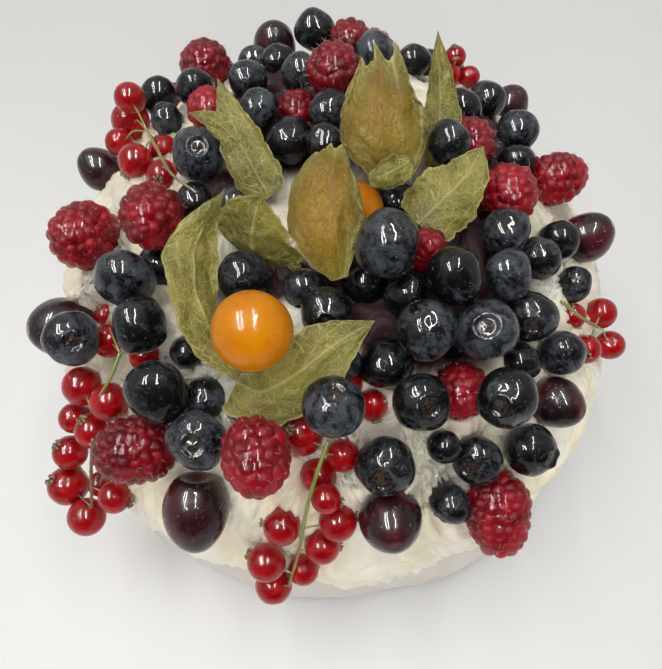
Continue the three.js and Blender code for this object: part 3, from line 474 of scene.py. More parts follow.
class Painter:
    """Lays out the shader nodes of a new material or world."""

    def __init__(self, owner):
        owner.use_nodes = True
        self.owner = owner
        self.tree = owner.node_tree
        self.coordinates = self.add("TexCoord").outputs
        self.place = self.coordinates["Object"]

    def feed(self, socket, value):
        """Gives an input a value, or links another node's output to it."""
        if isinstance(value, bpy.types.NodeSocket):
            self.tree.links.new(value, socket)
        else:
            socket.default_value = value

    def add(self, kind, inputs=None, **settings):
        node = self.tree.nodes.new("ShaderNode" + kind)
        for key, value in settings.items():
            setattr(node, key, value)
        for key, value in (inputs or {}).items():
            self.feed(node.inputs[key], value)
        return node

    def skin(self, **inputs):
        """Feeds the Principled shader, whose inputs are named with _ for each space."""
        for key, value in inputs.items():
            self.feed(self.tree.nodes["Principled BSDF"].inputs[key.replace("_", " ")], value)
        return self.owner

    def attribute(self, name, output="Fac"):
        return self.add("Attribute", attribute_name=name).outputs[output]

    def noise(self, scale, detail=4.0, roughness=0.55, distortion=0.0, place=None, output="Fac"):
        return self.add("TexNoise", {"Vector": self.place if place is None else place, "Scale": scale,
                                     "Detail": detail, "Roughness": roughness,
                                     "Distortion": distortion}).outputs[output]

    def cells(self, scale, place=None, feature="DISTANCE_TO_EDGE"):
        return self.add("TexVoronoi", {"Vector": self.place if place is None else place, "Scale": scale},
                        feature=feature).outputs["Distance"]

    def remap(self, value, low, high, to_low=0.0, to_high=1.0):
        return self.add("MapRange", {"Value": value, "From Min": low, "From Max": high, "To Min": to_low,
                                     "To Max": to_high}, interpolation_type="SMOOTHSTEP").outputs["Result"]

    def maths(self, operation, first, second=0.0):
        return self.add("Math", {0: first, 1: second}, operation=operation).outputs[0]

    def times(self, first, second):
        return self.maths("MULTIPLY", first, second)

    def plus(self, first, second):
        return self.maths("ADD", first, second)

    def vector_maths(self, operation, first, second, output="Vector"):
        return self.add("VectorMath", {0: first, 1: second}, operation=operation).outputs[output]

    def mix(self, share, first, second):
        """Mix of two colours, each a colour or a socket."""
        first, second = (colour if isinstance(colour, bpy.types.NodeSocket) else (*colour, 1)
                         for colour in (first, second))
        return self.add("Mix", {"Factor": share, 6: first, 7: second}, data_type="RGBA").outputs[2]

    def bump(self, height, depth, under=None, strength=1.0):
        """Bump as deep as depth, over the normal under."""
        inputs = {"Height": height, "Distance": depth, "Strength": strength}
        if under is not None:
            inputs["Normal"] = under
        return self.add("Bump", inputs).outputs["Normal"]

    def shifted(self, place, scale, reach):
        """A place pushed about by noise, so that a pattern drawn on it loses its straight lines."""
        push = self.noise(scale, 2.0, 0.5, place=place, output="Color")
        return self.vector_maths("ADD", place, self.vector_maths("MULTIPLY", push, reach))

    def glazed(self, depth=1.0, under=None):
        """Slow waves and thin runs in the clear glaze that coats the fruit."""
        coat = self.bump(self.noise(150, 2, 0.4, 0.8), 0.26 * MM * depth, under)
        runs = self.remap(self.noise(330, 2, 0.5, 2.4), 0.60, 0.68)
        return self.skin(Coat_Normal=self.bump(runs, 0.10 * MM * depth, coat))


def new_skin(name, **inputs):
    """The painter of a new Principled material with these input values."""
    painter = Painter(bpy.data.materials.new(name))
    painter.skin(**inputs)
    return painter


def blueberry_material():
    p = new_skin("blueberry_skin", Roughness=0.5, Coat_Weight=1.0, Coat_Roughness=0.025, Coat_IOR=1.36,
                 Specular_IOR_Level=0.08)
    mottle = p.noise(620, 6, 0.72, 0.8)
    bloom = p.times(p.noise(120, 4, 0.55, 1.4), 0.70)
    for part, share in ((mottle, 0.60), (p.noise(1900, 3, 0.6), 0.12), (p.attribute("tone"), 0.16)):
        bloom = p.plus(bloom, p.times(part, share))
    colour = p.mix(p.remap(bloom, 0.75, 0.97), (0.0012, 0.0015, 0.0026), (0.058, 0.068, 0.086))
    dry = p.mix(p.remap(p.noise(1400, 3), 0.42, 0.62), (0.004, 0.0035, 0.0035), (0.060, 0.034, 0.022))
    p.skin(Base_Color=p.mix(p.attribute("crown"), colour, dry), Normal=p.bump(mottle, 0.10 * MM))
    return p.glazed()


def raspberry_material():
    p = new_skin("raspberry_skin", Roughness=0.4, Coat_Weight=0.55, Coat_Roughness=0.04, Coat_IOR=1.33,
                 Subsurface_Weight=0.5, Subsurface_Scale=2.0 * MM, Subsurface_Radius=(1.0, 0.10, 0.08),
                 Specular_IOR_Level=0.1)
    tone = p.attribute("tone")
    deep = p.mix(tone, (0.100, 0.0006, 0.004), (0.22, 0.0016, 0.008))
    bright = p.mix(tone, (0.21, 0.0014, 0.007), (0.40, 0.0052, 0.018))
    colour = p.mix(p.remap(p.noise(160), 0.35, 0.65), deep, bright)
    lines = p.times(p.attribute("seam"), p.remap(p.noise(260, 3), 0.3, 0.6, 0.1, 0.75))
    p.skin(Base_Color=p.mix(lines, colour, (0.42, 0.035, 0.045)),
           Normal=p.bump(p.noise(1500, 3), 0.05 * MM))
    gel = p.add("VectorTransform", {"Vector": p.attribute("glaze", "Vector")}, vector_type="NORMAL",
                convert_from="OBJECT", convert_to="WORLD").outputs["Vector"]
    return p.glazed(1.5, gel)


def currant_material():
    p = new_skin("currant_skin", Roughness=0.3, Coat_Weight=0.9, Coat_Roughness=0.03, Coat_IOR=1.38,
                 Subsurface_Weight=0.6, Subsurface_Scale=2.2 * MM, Subsurface_Radius=(1.0, 0.06, 0.05),
                 Specular_IOR_Level=0.1)
    local = p.attribute("local", "Vector")
    axes = p.add("SeparateXYZ", {"Vector": local}).outputs
    bearing = p.plus(p.maths("ARCTAN2", axes["Y"], axes["X"]), p.times(p.noise(260, 2), 0.9))
    veins = p.remap(p.maths("SINE", p.times(bearing, 7.0)), 0.82, 1.0)
    inside = p.remap(p.noise(1.6, 2, place=local), 0.35, 0.7)
    colour = p.mix(inside, (0.27, 0.0014, 0.0045), (0.42, 0.0026, 0.007))
    p.skin(Base_Color=p.mix(p.times(veins, 0.14), colour, (0.60, 0.09, 0.07)))
    return p.glazed()


def cherry_material():
    p = new_skin("cherry_skin", Roughness=0.4, Coat_Weight=1.0, Coat_Roughness=0.025, Coat_IOR=1.36,
                 Specular_IOR_Level=0.15)
    cloud = p.remap(p.noise(90, 4, 0.5, 0.8), 0.4, 0.7)
    dots = p.remap(p.cells(520.0, feature="F1"), 0.16, 0.06)
    colour = p.mix(cloud, (0.010, 0.0024, 0.004), (0.064, 0.006, 0.011))
    p.skin(Base_Color=p.mix(p.times(dots, 0.35), colour, (0.16, 0.055, 0.045)))
    return p.glazed()


def physalis_material():
    p = new_skin("physalis_skin", Roughness=0.3, Coat_Weight=0.6, Coat_IOR=1.32, Coat_Roughness=0.04,
                 Subsurface_Weight=0.25, Subsurface_Scale=2.0 * MM, Subsurface_Radius=(1.0, 0.45, 0.08),
                 Specular_IOR_Level=0.1)
    colour = p.mix(p.remap(p.noise(70, 3), 0.35, 0.7), (0.62, 0.180, 0.001), (0.70, 0.255, 0.002))
    threads = p.remap(p.cells(150.0), 0.035, 0.005)
    p.skin(Base_Color=p.mix(p.times(threads, 0.16), colour, (0.88, 0.42, 0.05)),
           Normal=p.bump(p.noise(1800, 3), 0.03 * MM))
    return p.glazed()


def husk_material():
    p = new_skin("husk_paper", Roughness=0.50, Coat_Weight=0.35, Coat_Roughness=0.22,
                 Subsurface_Weight=0.15, Subsurface_Scale=1.0 * MM, Subsurface_Radius=(1.0, 0.9, 0.3),
                 Specular_IOR_Level=0.1)
    ripe = p.attribute("ripe")
    unripe = p.remap(ripe, 0.45, 0.10)
    cloud = p.noise(95, 5, 0.6)
    green = p.mix(p.remap(cloud, 0.32, 0.68), (0.135, 0.120, 0.009), (0.335, 0.295, 0.045))
    golden = p.mix(p.remap(cloud, 0.35, 0.7), (0.410, 0.200, 0.002), (0.370, 0.240, 0.006))
    colour = p.mix(ripe, green, golden)
    bent = p.shifted(p.attribute("leaf", "Vector"), 240.0, (0.9 * MM, 0.9 * MM, 0.0))
    net = p.maths("MAXIMUM", p.remap(p.cells(310.0, bent), 0.045, 0.012),
                  p.times(p.remap(p.cells(900.0, bent), 0.09, 0.02), 0.5))
    veins = p.maths("MAXIMUM", p.attribute("vein"), p.times(net, 0.85))
    drawn = p.times(veins, p.remap(unripe, 0.0, 1.0, 0.50, 0.78))
    colour = p.mix(drawn, colour, p.mix(unripe, (0.145, 0.060, 0.008), (0.58, 0.55, 0.23)))
    flecks = p.remap(p.noise(1500, 4, 0.65), 0.52, 0.66, 0.0, 0.30)
    colour = p.mix(flecks, colour, p.mix(ripe, (0.56, 0.50, 0.14), (0.55, 0.34, 0.04)))
    colour = p.mix(p.times(p.attribute("edge"), 0.7), colour, (0.60, 0.52, 0.20))
    relief = p.bump(veins, 0.30 * MM)
    relief = p.bump(p.noise(420, 3, 0.6, 1.2), 0.55 * MM, relief)
    relief = p.bump(p.noise(1000, 6, 0.72, 0.5), 0.40 * MM, relief)
    return p.skin(Base_Color=colour, Normal=relief, Coat_Normal=relief)


def stalk_material():
    p = new_skin("currant_stalk", Roughness=0.4, Coat_Weight=0.4)
    fresh = p.mix(p.noise(300, 3), (0.20, 0.24, 0.035), (0.36, 0.38, 0.09))
    brown = p.mix(p.noise(500, 3), (0.10, 0.055, 0.03), (0.26, 0.17, 0.08))
    dry = p.remap(p.plus(p.attribute("dry"), p.times(p.noise(240, 3), 0.3)), 0.3, 0.8)
    return p.skin(Base_Color=p.mix(dry, fresh, brown), Normal=p.bump(p.noise(1300, 3), 0.12 * MM))


def calyx_material():
    p = new_skin("dry_calyx", Roughness=0.75)
    cloud = p.remap(p.noise(1500), 0.35, 0.65)
    return p.skin(Base_Color=p.mix(cloud, (0.10, 0.055, 0.03), (0.45, 0.30, 0.16)))


def hair_material():
    p = new_skin("raspberry_hair", Roughness=0.4)
    return p.skin(Base_Color=p.mix(p.noise(500, 2), (0.62, 0.36, 0.28), (0.80, 0.66, 0.52)))


def cream_material():
    p = new_skin("whipped_cream", Subsurface_Weight=0.35, Subsurface_Scale=2.0 * MM,
                 Subsurface_Radius=(1.0, 0.8, 0.55), Specular_IOR_Level=0.2)
    # Painted shade: the cream between close fruit on the heap is darkened to near black, with weaker bump
    # and more roughness there.
    soak = p.attribute("soak")
    colour = p.mix(p.remap(p.noise(60), 0.35, 0.65), (0.95, 0.875, 0.68), (0.97, 0.93, 0.81))
    colour = p.mix(p.attribute("juice"), colour, (0.88, 0.60, 0.52))
    strokes = p.noise(280, 5, 0.55, 0.5, p.attribute("stroke", "Vector"))
    relief = p.bump(strokes, 1.3 * MM, strength=p.remap(soak, 0.1, 0.9, 1.0, 0.15))
    return p.skin(Base_Color=p.mix(soak, colour, (0.028, 0.005, 0.007)),
                  Roughness=p.remap(soak, 0.1, 0.9, 0.50, 0.75),
                  Normal=p.bump(p.noise(1100, 4, 0.6), 0.10 * MM, relief))


def meringue_material():
    p = new_skin("baked_meringue", Subsurface_Weight=0.12, Subsurface_Scale=2.0 * MM,
                 Subsurface_Radius=(1.0, 0.95, 0.85))
    cloud = p.noise(40)
    cracks = p.cells(34.0, p.shifted(p.place, 70.0, (22 * MM, 22 * MM, 22 * MM)))
    crazed = p.times(p.remap(cracks, 0.022, 0.0), p.remap(cloud, 0.48, 0.62))
    relief = p.bump(p.noise(110, 5, 0.6, 0.6), 0.9 * MM)
    relief = p.bump(p.maths("SUBTRACT", 1.0, crazed), 0.22 * MM, relief)
    pores = p.remap(p.cells(700.0, feature="F1"), 0.0, 0.25)
    return p.skin(Base_Color=p.mix(p.remap(cloud, 0.35, 0.7), (0.72, 0.655, 0.595), (0.80, 0.745, 0.69)),
                  Roughness=p.remap(p.noise(130, 3), 0.35, 0.65, 0.28, 0.46),
                  Normal=p.bump(pores, 0.05 * MM, relief))


# Fruit

def blueberry_shape(radius, rng):
    """A blueberry with its crown towards +Z: a lobed rim round a shallow hollow."""
    columns, crown_end = 36, 46 * DEG
    polar = np.concatenate([np.linspace(1.5 * DEG, crown_end, 15),
                            np.linspace(crown_end, math.pi - 0.02, 22)[1:]])
    theta, phi = globe(polar, columns)
    squash = rng.uniform(0.85, 0.96)
    lobes = 0.5 + 0.5 * np.cos(5 * phi + rng.uniform(0, TAU))
    rim_at = rng.uniform(20, 26) * DEG
    rim = bell(theta - rim_at, 4.5 * DEG) * (0.022 + 0.045 * lobes)
    hollow = 0.10 * (1 - smoothstep(rim_at - 9 * DEG, rim_at, theta))
    nub = 0.02 * bell(theta, 4 * DEG)
    dimple = 0.05 * bell(math.pi - theta, 10 * DEG)
    out = 1.02 * np.sin(theta) * (1 + 0.35 * rim)
    up = squash * np.cos(theta) * (1 - 0.05 * np.sin(theta) ** 2) + rim - hollow + nub + dimple
    points = dented(around(out, phi, up), rng, (0.042, 1.5), (0.008, 0.5))
    points = points * [rng.uniform(1.0, 1.07), 1.0, 1.02]
    crown = 1 - smoothstep(rim_at - 14 * DEG, rim_at - 5 * DEG, theta)
    return shape(points * radius, closed_faces(len(polar), columns),
                 tone=np.full(len(points), rng.uniform()), crown=crown.ravel())


def round_shape(radius, rng, columns=28, rows=20, squash=1.0):
    """A smooth round fruit with a small dimple at the stalk end, -Z."""
    theta, phi = globe(np.linspace(0.03, math.pi - 0.03, rows), columns)
    local = around(np.sin(theta), phi, squash * np.cos(theta) + 0.06 * bell(math.pi - theta, 14 * DEG))
    return shape(dented(local, rng, (0.012, 1.8)) * radius, closed_faces(rows, columns), local=local)


def cherry_shape(fruit, rng):
    """A heart-shaped cherry: a stalk hollow at -Z, a shallow furrow and a narrower tip at +Z."""
    rows, columns = 44, 48
    theta, phi = globe(np.linspace(0.02, math.pi - 0.02, rows), columns)
    towards_tip = 0.5 + 0.5 * np.cos(theta)
    furrow = 0.05 * bell(np.mod(phi + math.pi, TAU) - math.pi, 0.30) * np.sin(theta)
    out = np.sin(theta) ** 0.92 * (1 - 0.20 * towards_tip ** 2) * (1 - furrow)
    hollow = 0.30 * bell(math.pi - theta, 19 * DEG)
    dip = 0.03 * bell(theta, 9 * DEG)
    up = fruit["length"] / 2 / fruit["radius"] * (np.cos(theta) + hollow - dip)
    points = dented(around(out, phi, up), rng, (0.02, 1.7))
    return shape(points * fruit["radius"], closed_faces(rows, columns))


def raspberry_profile(fruit):
    """Radius, height and distance down the raspberry's surface, from its hollow over the rim to
    the tip, and the distance at which the rim lies."""
    radius, length = fruit["radius"], fruit["length"]
    z = np.linspace(-0.46 * length, 0.497 * length, 80)
    past = np.clip((np.abs(z) - fruit["half"]) / radius, 0, 0.999)
    outer = radius * np.sqrt(1 - past ** 2) * (1 - 0.22 * (z / length + 0.5) ** 2)
    inner_r = np.array([0.02, 0.16, 0.27, 0.33, 0.38, 0.46]) * radius
    inner_z = np.array([-0.20, -0.21, -0.25, -0.33, -0.42, -0.475]) * length
    r = np.concatenate([inner_r, outer])
    height = np.concatenate([inner_z, z])
    along = np.concatenate([[0], np.cumsum(np.hypot(np.diff(r), np.diff(height)))])
    return r, height, along, along[len(inner_r)]


def drupelet_places(fruit, rng):
    """Middle, outward direction and size of each drupelet, in staggered rings, rim to tip."""
    r, height, along, rim = raspberry_profile(fruit)
    slope_r, slope_z = np.gradient(r), np.gradient(height)
    places, outwards, sizes = [], [], []
    ring_count = max(4, round((along[-1] - rim) / (DRUPELET_PITCH * 0.84)))
    for ring in range(ring_count + 1):
        s = rim + (along[-1] - rim) * ring / ring_count
        ring_r, ring_z, tilt_z, tilt_r = (np.interp(s, along, row) for row in (r, height, slope_r, slope_z))
        tilt = np.array([tilt_r, -tilt_z])
        tilt /= np.hypot(*tilt)
        count = max(1, round(TAU * (ring_r - 0.3 * DRUPELET_PITCH) / DRUPELET_PITCH))
        for k in range(count):
            a = TAU * (k + 0.5 * (ring % 2) + rng.uniform(-0.13, 0.13)) / count + 0.4 * ring
            outward = unit([tilt[0] * math.cos(a), tilt[0] * math.sin(a), tilt[1]]
                           + rng.normal(size=3) * 0.08)
            size = DRUPELET_PITCH * rng.uniform(0.60, 0.74)
            surface = np.array([ring_r * math.cos(a), ring_r * math.sin(a), ring_z])
            places.append(surface - outward * size * rng.uniform(1.0, 1.14))
            outwards.append(outward)
            sizes.append(size)
    return np.array(places), np.array(outwards), np.array(sizes)


def raspberry_shape(fruit, rng):
    """A raspberry of bead-like drupelets on a core; also the top and direction of each bead."""
    places, outwards, sizes = drupelet_places(fruit, rng)
    r, height, _, _ = raspberry_profile(fruit)
    core_columns, rows, columns = 24, 9, 14
    core = around(np.maximum(r - 2.2 * MM, 0.3 * MM)[:, None], circle(core_columns), height[:, None] * 0.9)
    tone = rng.uniform()
    beads = [shape(core, closed_faces(len(r), core_columns), seam=np.zeros(len(core)),
                   tone=np.full(len(core), tone), glaze=unit(core))]
    theta, phi = globe(np.linspace(0.12, 2.0, rows), columns)
    dome = around(np.sin(theta), phi, 1.08 * np.cos(theta))
    for index, (place, outward, size) in enumerate(zip(places, outwards, sizes)):
        bead = dented(dome, rng, (0.05, 1.8)) * size
        points = bead @ frame_of(outward, rng.uniform(0, TAU)).T + place
        close = distance(places, place) < 3 * size
        close[index] = False
        gap = (distance(points[:, None], places[close]) - sizes[close]).min(axis=1)
        glaze = unit(GLAZE_SHARE * outward + (1 - GLAZE_SHARE) * unit(points - place))
        beads.append(shape(points, closed_faces(rows, columns), glaze=glaze,
                           seam=bell(np.maximum(gap, -0.1 * MM), 0.20 * MM),
                           tone=np.full(len(points), np.clip(tone + rng.uniform(-0.3, 0.3), 0, 1))))
    return joined(beads), places + outwards * (sizes * 1.05)[:, None], outwards


def hair_shape(tops, normals, rng):
    """Fine bent hairs that stand out from the drupelets."""
    hairs = []
    for top, normal in zip(np.repeat(tops, 2, axis=0), np.repeat(normals, 2, axis=0)):
        if rng.uniform() > 0.70:
            continue
        lean = unit(normal + rng.normal(size=3) * 0.55)
        length = rng.uniform(0.8, 2.0) * MM
        bend = unit(np.cross(lean, rng.normal(size=3))) * length * 0.35
        path = [top, top + lean * length * 0.5 + bend * 0.3, top + lean * length + bend]
        hairs.append(shape(*tube(path, [0.05 * MM, 0.04 * MM, 0.02 * MM], 3)))
    return joined(hairs)


def currant_calyx(radius, rng):
    """The dried flower at a currant's end, +Z: a small rim with ragged curled tips."""
    tips = []
    for k in range(7):
        a = TAU * (k + rng.uniform(-0.25, 0.25)) / 7
        out = np.array([math.cos(a), math.sin(a), 0])
        path = [out * 0.15 * radius + [0, 0, 0.97 * radius],
                out * 0.29 * radius * rng.uniform(0.8, 1.2) + [0, 0, radius * 1.08],
                out * 0.17 * radius + [0, 0, radius * rng.uniform(1.14, 1.24)]]
        tips.append(shape(*tube(path, np.array([0.10, 0.085, 0.03]) * radius, 5)))
    return joined(tips)


# Husks

def petal_frame(petal, u):
    """Vein points and outward and crosswise directions at each u."""
    dense = curve_points(petal["spine"], 200)
    marks = np.arange(len(dense))
    vein, slope = (sampled(curve, marks, u * marks[-1]) for curve in (dense, np.gradient(dense, axis=0)))
    along = unit(slope)
    face = np.asarray(petal["face"], float)
    out = unit(face - along * (along @ face)[..., None])
    return vein, out, np.cross(along, out)


def petal_veins(petal, u, v, seed):
    """How strongly a vein shows at each place, and a long rib: side veins arch away from the ribs."""
    side = np.abs(v[..., None] - np.array(petal["ribs"])).min(axis=-1)
    ribs = bell(side, 0.036)
    arch = np.abs(np.mod(6.5 * u - 2.6 * side + 0.25 * np.sin(11 * u + seed), 1) - 0.5)
    side_veins = bell(arch, 0.07) * smoothstep(0.02, 0.12, side) * (1 - v ** 4)
    return np.maximum(ribs, 0.6 * side_veins), ribs


def petal_relief(petal, u, v, taper, seed):
    """Height of folds, ribs, crumples and turned-up edges over the plain curl."""
    rng = np.random.default_rng(seed)
    veins, ribs = petal_veins(petal, u, v, seed)
    fold = 1.2 * MM * np.sin(9 * u + 2 * v) * np.abs(v) * taper
    flat = np.stack([u * 24, v * petal["width"] / 2, np.full_like(u, seed * 7.3)], axis=-1).reshape(-1, 3)
    creases = np.abs(ripple(flat, 9.0, seed)) * 0.62 + np.abs(ripple(flat, 3.6, seed + 1)) * 0.22
    crumple = (0.5 - creases).reshape(u.shape) * MM * np.sqrt(taper) * smoothstep(0, 0.08, u)
    side = rng.choice([-1, 1])
    turned_up = smoothstep(0.72, 1, v * side) * (0.5 + 0.5 * np.sin(7 * u + seed)) * 2.2 * MM * taper
    bowl = -0.5 * MM * smoothstep(0.80, 1, -v * side) * taper
    return fold + crumple + turned_up + bowl + 0.55 * MM * ribs * taper + 0.12 * MM * veins


def petal_shape(petal, seed):
    """A papery petal with veins, curled edges and crinkles, as a thin shell."""
    rows, columns, thickness = 70, 46, 0.28 * MM
    u, v = np.meshgrid(np.linspace(0, 1, rows), np.linspace(-1, 1, columns), indexing="ij")
    crown = np.interp(v, *zip(*petal["crown"]))
    tears = np.abs(np.sin(9 * v + seed) + 0.6 * np.sin(23 * v + 2 * seed))
    vein, out, across = petal_frame(petal, u * crown * (1 - 0.018 * tears * smoothstep(0.6, 1, u)))
    span = petal["blunt"] + (1 - petal["blunt"] - petal["open"]) * u ** petal["swell"]
    taper = np.sin(math.pi * span) ** 0.75
    ragged = 1 + 0.05 * np.sin(17 * u + seed) + 0.035 * np.sin(41 * u + 2.2 * seed)
    ragged += 0.02 * np.sin(87 * u + 3.1 * seed)
    half_width = petal["width"] * MM / 2
    half = np.maximum(0.35 * MM, half_width * taper * ragged)
    bend = half_width / (petal["wrap"] / 2 * DEG)
    cos, sin = (turn(v * half / bend)[..., None] for turn in (np.cos, np.sin))
    lift = cos * bend - bend + petal_relief(petal, u, v, taper, seed)[..., None]
    middle = vein + across * (bend * sin) + out * lift
    normal = unit(out * cos + across * sin)
    points = np.concatenate([(middle + side * normal * thickness / 2).reshape(-1, 3) for side in (1, -1)])
    count = rows * columns
    outline = np.concatenate([np.arange(columns), np.arange(1, rows) * columns + columns - 1,
                              (rows - 1) * columns + np.arange(columns - 2, -1, -1),
                              np.arange(rows - 2, 0, -1) * columns])
    following = np.roll(outline, -1)
    rim = np.stack([outline, outline + count, following + count, following], axis=1)
    quads = grid_faces(rows, columns, wrap=False)
    along = curve_points(petal["spine"], 60)
    length = distance(along[1:], along[:-1]).sum()
    leaf = np.stack([u * length, v * half, np.full_like(u, 0.01 * seed)], axis=-1).reshape(-1, 3)
    veins, _ = petal_veins(petal, u, v, seed)
    ripe = petal["ripe"] * bell(u - 0.45, 0.42) * bell(v + 0.1, 0.75)
    edge = np.maximum(smoothstep(0.90, 0.99, np.abs(v)), smoothstep(0.965, 0.995, u))
    return shape(points, [quads[:, ::-1], quads + count, rim], leaf=np.tile(leaf, (2, 1)),
                 vein=np.tile(veins.ravel(), 2), edge=np.tile(edge.ravel(), 2),
                 ripe=np.tile(ripe.ravel(), 2))


# Cream and meringue

def mound_height(x, y):
    height = MOUND_TOP - MOUND_FALL * (np.hypot(x, y) / MOUND_REACH) ** 4
    height += BACK_RISE * np.maximum(y, 0) / MOUND_REACH
    for middle_x, middle_y, reach, rise in SWELLS:
        height += rise * MM * bell(np.hypot(x - middle_x * MM, y - middle_y * MM), reach * MM)
    return height


def smoothed_rows(values, width=5):
    """Softens a grid along its rows, ends kept."""
    kernel = bell(np.arange(-3 * width, 3 * width + 1), width * math.sqrt(2))
    kernel /= kernel.sum()
    padded = np.concatenate([2 * values[:1] - values[1:3 * width + 1][::-1], values,
                             2 * values[-1:] - values[-3 * width - 1:-1][::-1]])
    return sum(share * padded[k:k + len(values)] for k, share in enumerate(kernel))


def cream_profile(angle, rows_top, rows_side):
    """Radius and height of the cream at each angle, from the middle over the rim to the lip, and
    the height of the lip."""
    rim = RIM_RADIUS + 1.6 * MM * np.sin(5 * angle + 1) + 1.2 * MM * np.sin(11 * angle)
    share = np.linspace(0.012, 1, rows_top) ** 0.9
    r_top = share[:, None] * rim
    z_top = mound_height(r_top * np.cos(angle), r_top * np.sin(angle))
    lip = LIP_HEIGHT - LIP_DROOP * np.maximum(0, np.sin(-angle + 0.3 * np.sin(7 * angle)))
    down = np.linspace(0, 1, rows_side + 1)[1:, None]
    r_side = rim + 2.6 * MM * np.sin(math.pi * down) + 1.2 * MM * down
    z_side = z_top[-1] * (1 - down) + lip * down
    r, z = (smoothed_rows(np.concatenate(parts)) for parts in ((r_top, r_side), (z_top, z_side)))
    return r, z, lip


def cream_strokes(points):
    """Distance across and along the strokes that the cream was spread in: round the middle on top,
    downhill at the edge."""
    r = off_axis(points)
    bearing = np.arctan2(points[:, 1], points[:, 0])
    downhill = smoothstep(60 * MM, 78 * MM, r + 8 * MM * ripple(points, 60 * MM, 41))
    sway = 7 * MM * ripple(points, 34 * MM, 42)
    outwards = r + 16 * MM * np.sin(2 * bearing + 0.6)
    across = (1 - downhill) * outwards + downhill * bearing * 88 * MM + sway
    along = (1 - downhill) * bearing * r + downhill * (r - points[:, 2])
    return across, along


def cream_relief(points, down):
    """Spooned slabs with sharp creases, ridges across the strokes and a torn edge low down."""
    across, _ = cream_strokes(points)
    slabs = sum(height * np.abs(ripple(points, pitch * MM, seed))
                for height, pitch, seed in ((1, 42, 11), (0.5, 21, 12), (0.35, 10, 19)))
    where = smoothstep(-0.9, 0.3, ripple(points, 40 * MM, 13))
    wave = across / (5.6 * MM) + 0.35 * ripple(points, 17 * MM, 14)
    ridges = np.abs(np.sin(math.pi * wave)) ** 0.8 * where
    small = np.abs(np.sin(math.pi * (across / (2.9 * MM) + 0.4 * ripple(points, 11 * MM, 15))))
    torn = np.abs(ripple(points, 9 * MM, 17)) * ripple(points, 4 * MM, 18)
    return (2.2 * slabs + 2.7 * ridges + 1.1 * small * (1.3 - where) + 1.6 * down * torn - 1.2) * MM


def scooped(points, normals, fruits):
    """Lowers the cream round each fruit so that it covers no more than the lower half of it."""
    cover, bank, foot, reach, deepest = 0.05, 1.6, 1.05, 1.8, 6 * MM
    for middle, radius in balls_of(fruits):
        away = points - middle
        height = np.einsum("ij,ij->i", away, normals)
        off = distance(away, normals * height[:, None]) / radius
        limit = radius * (cover + bank * np.maximum(off - foot, 0))
        over = np.where((off < reach) & (np.abs(height) < reach * radius), height - limit, 0)
        points = points - normals * np.clip(over, 0, deepest)[:, None]
    return points


def press_in(points, normals, fruits):
    """Pushes the cream back to the skin of each fruit, with a soft lip and a clean line round it."""
    lip, lip_height, line, deepest = 3.5 * MM, 0.8 * MM, 0.75 * MM, 9 * MM
    for middle, radius in balls_of(fruits):
        radius = radius * 0.97
        gap = distance(points, middle) - radius
        near = (gap > 0) & (gap < lip)
        points[near] += normals[near] * (lip_height * (1 - gap[near] / lip) ** 2)[:, None]
        away = points - middle
        reach = np.linalg.norm(away, axis=1)
        touching = (reach > radius) & (reach < radius + line)
        points[touching] = middle + away[touching] * (radius * 1.012 / reach[touching])[:, None]
        inside = reach < radius
        along = np.einsum("ij,ij->i", away[inside], normals[inside])
        rest = (away[inside] ** 2).sum(axis=1) - radius ** 2
        depth = along + np.sqrt(np.maximum(along ** 2 - rest, 0))
        points[inside] -= normals[inside] * np.minimum(depth, deepest)[:, None]
    return points


def nearness(points, fruit, fade):
    """1 in a fruit, falling off over the distance fade outside it."""
    return np.exp(-np.maximum(distance(points, fruit["place"]) - fruit["radius"], 0) / fade)


def juice_stain(points, fruits):
    """How much red juice has run into the cream: strongest right beside red fruit."""
    stain = np.max([0.42 * nearness(points, fruit, 3.5 * MM) for fruit in fruits], axis=0)
    return stain * (0.65 + 0.35 * ripple(points, 14 * MM, 21))


def soaked(points, fruits):
    """How dark the cream is painted between fruit that lies close together on the heap: painted shade of
    the deep gaps, which also stands in for dark fruit lying deeper.
    """
    closeness = sum(nearness(points, fruit, 5.5 * MM) for fruit in fruits)
    heap = 0
    for x, y, reach in HEAPS:
        away = off_axis(points - [x * MM, y * MM, 0])
        heap = np.maximum(heap, 1 - smoothstep(0.85 * reach * MM, 1.05 * reach * MM, away))
    return heap * smoothstep(0.55, 1.3, closeness)


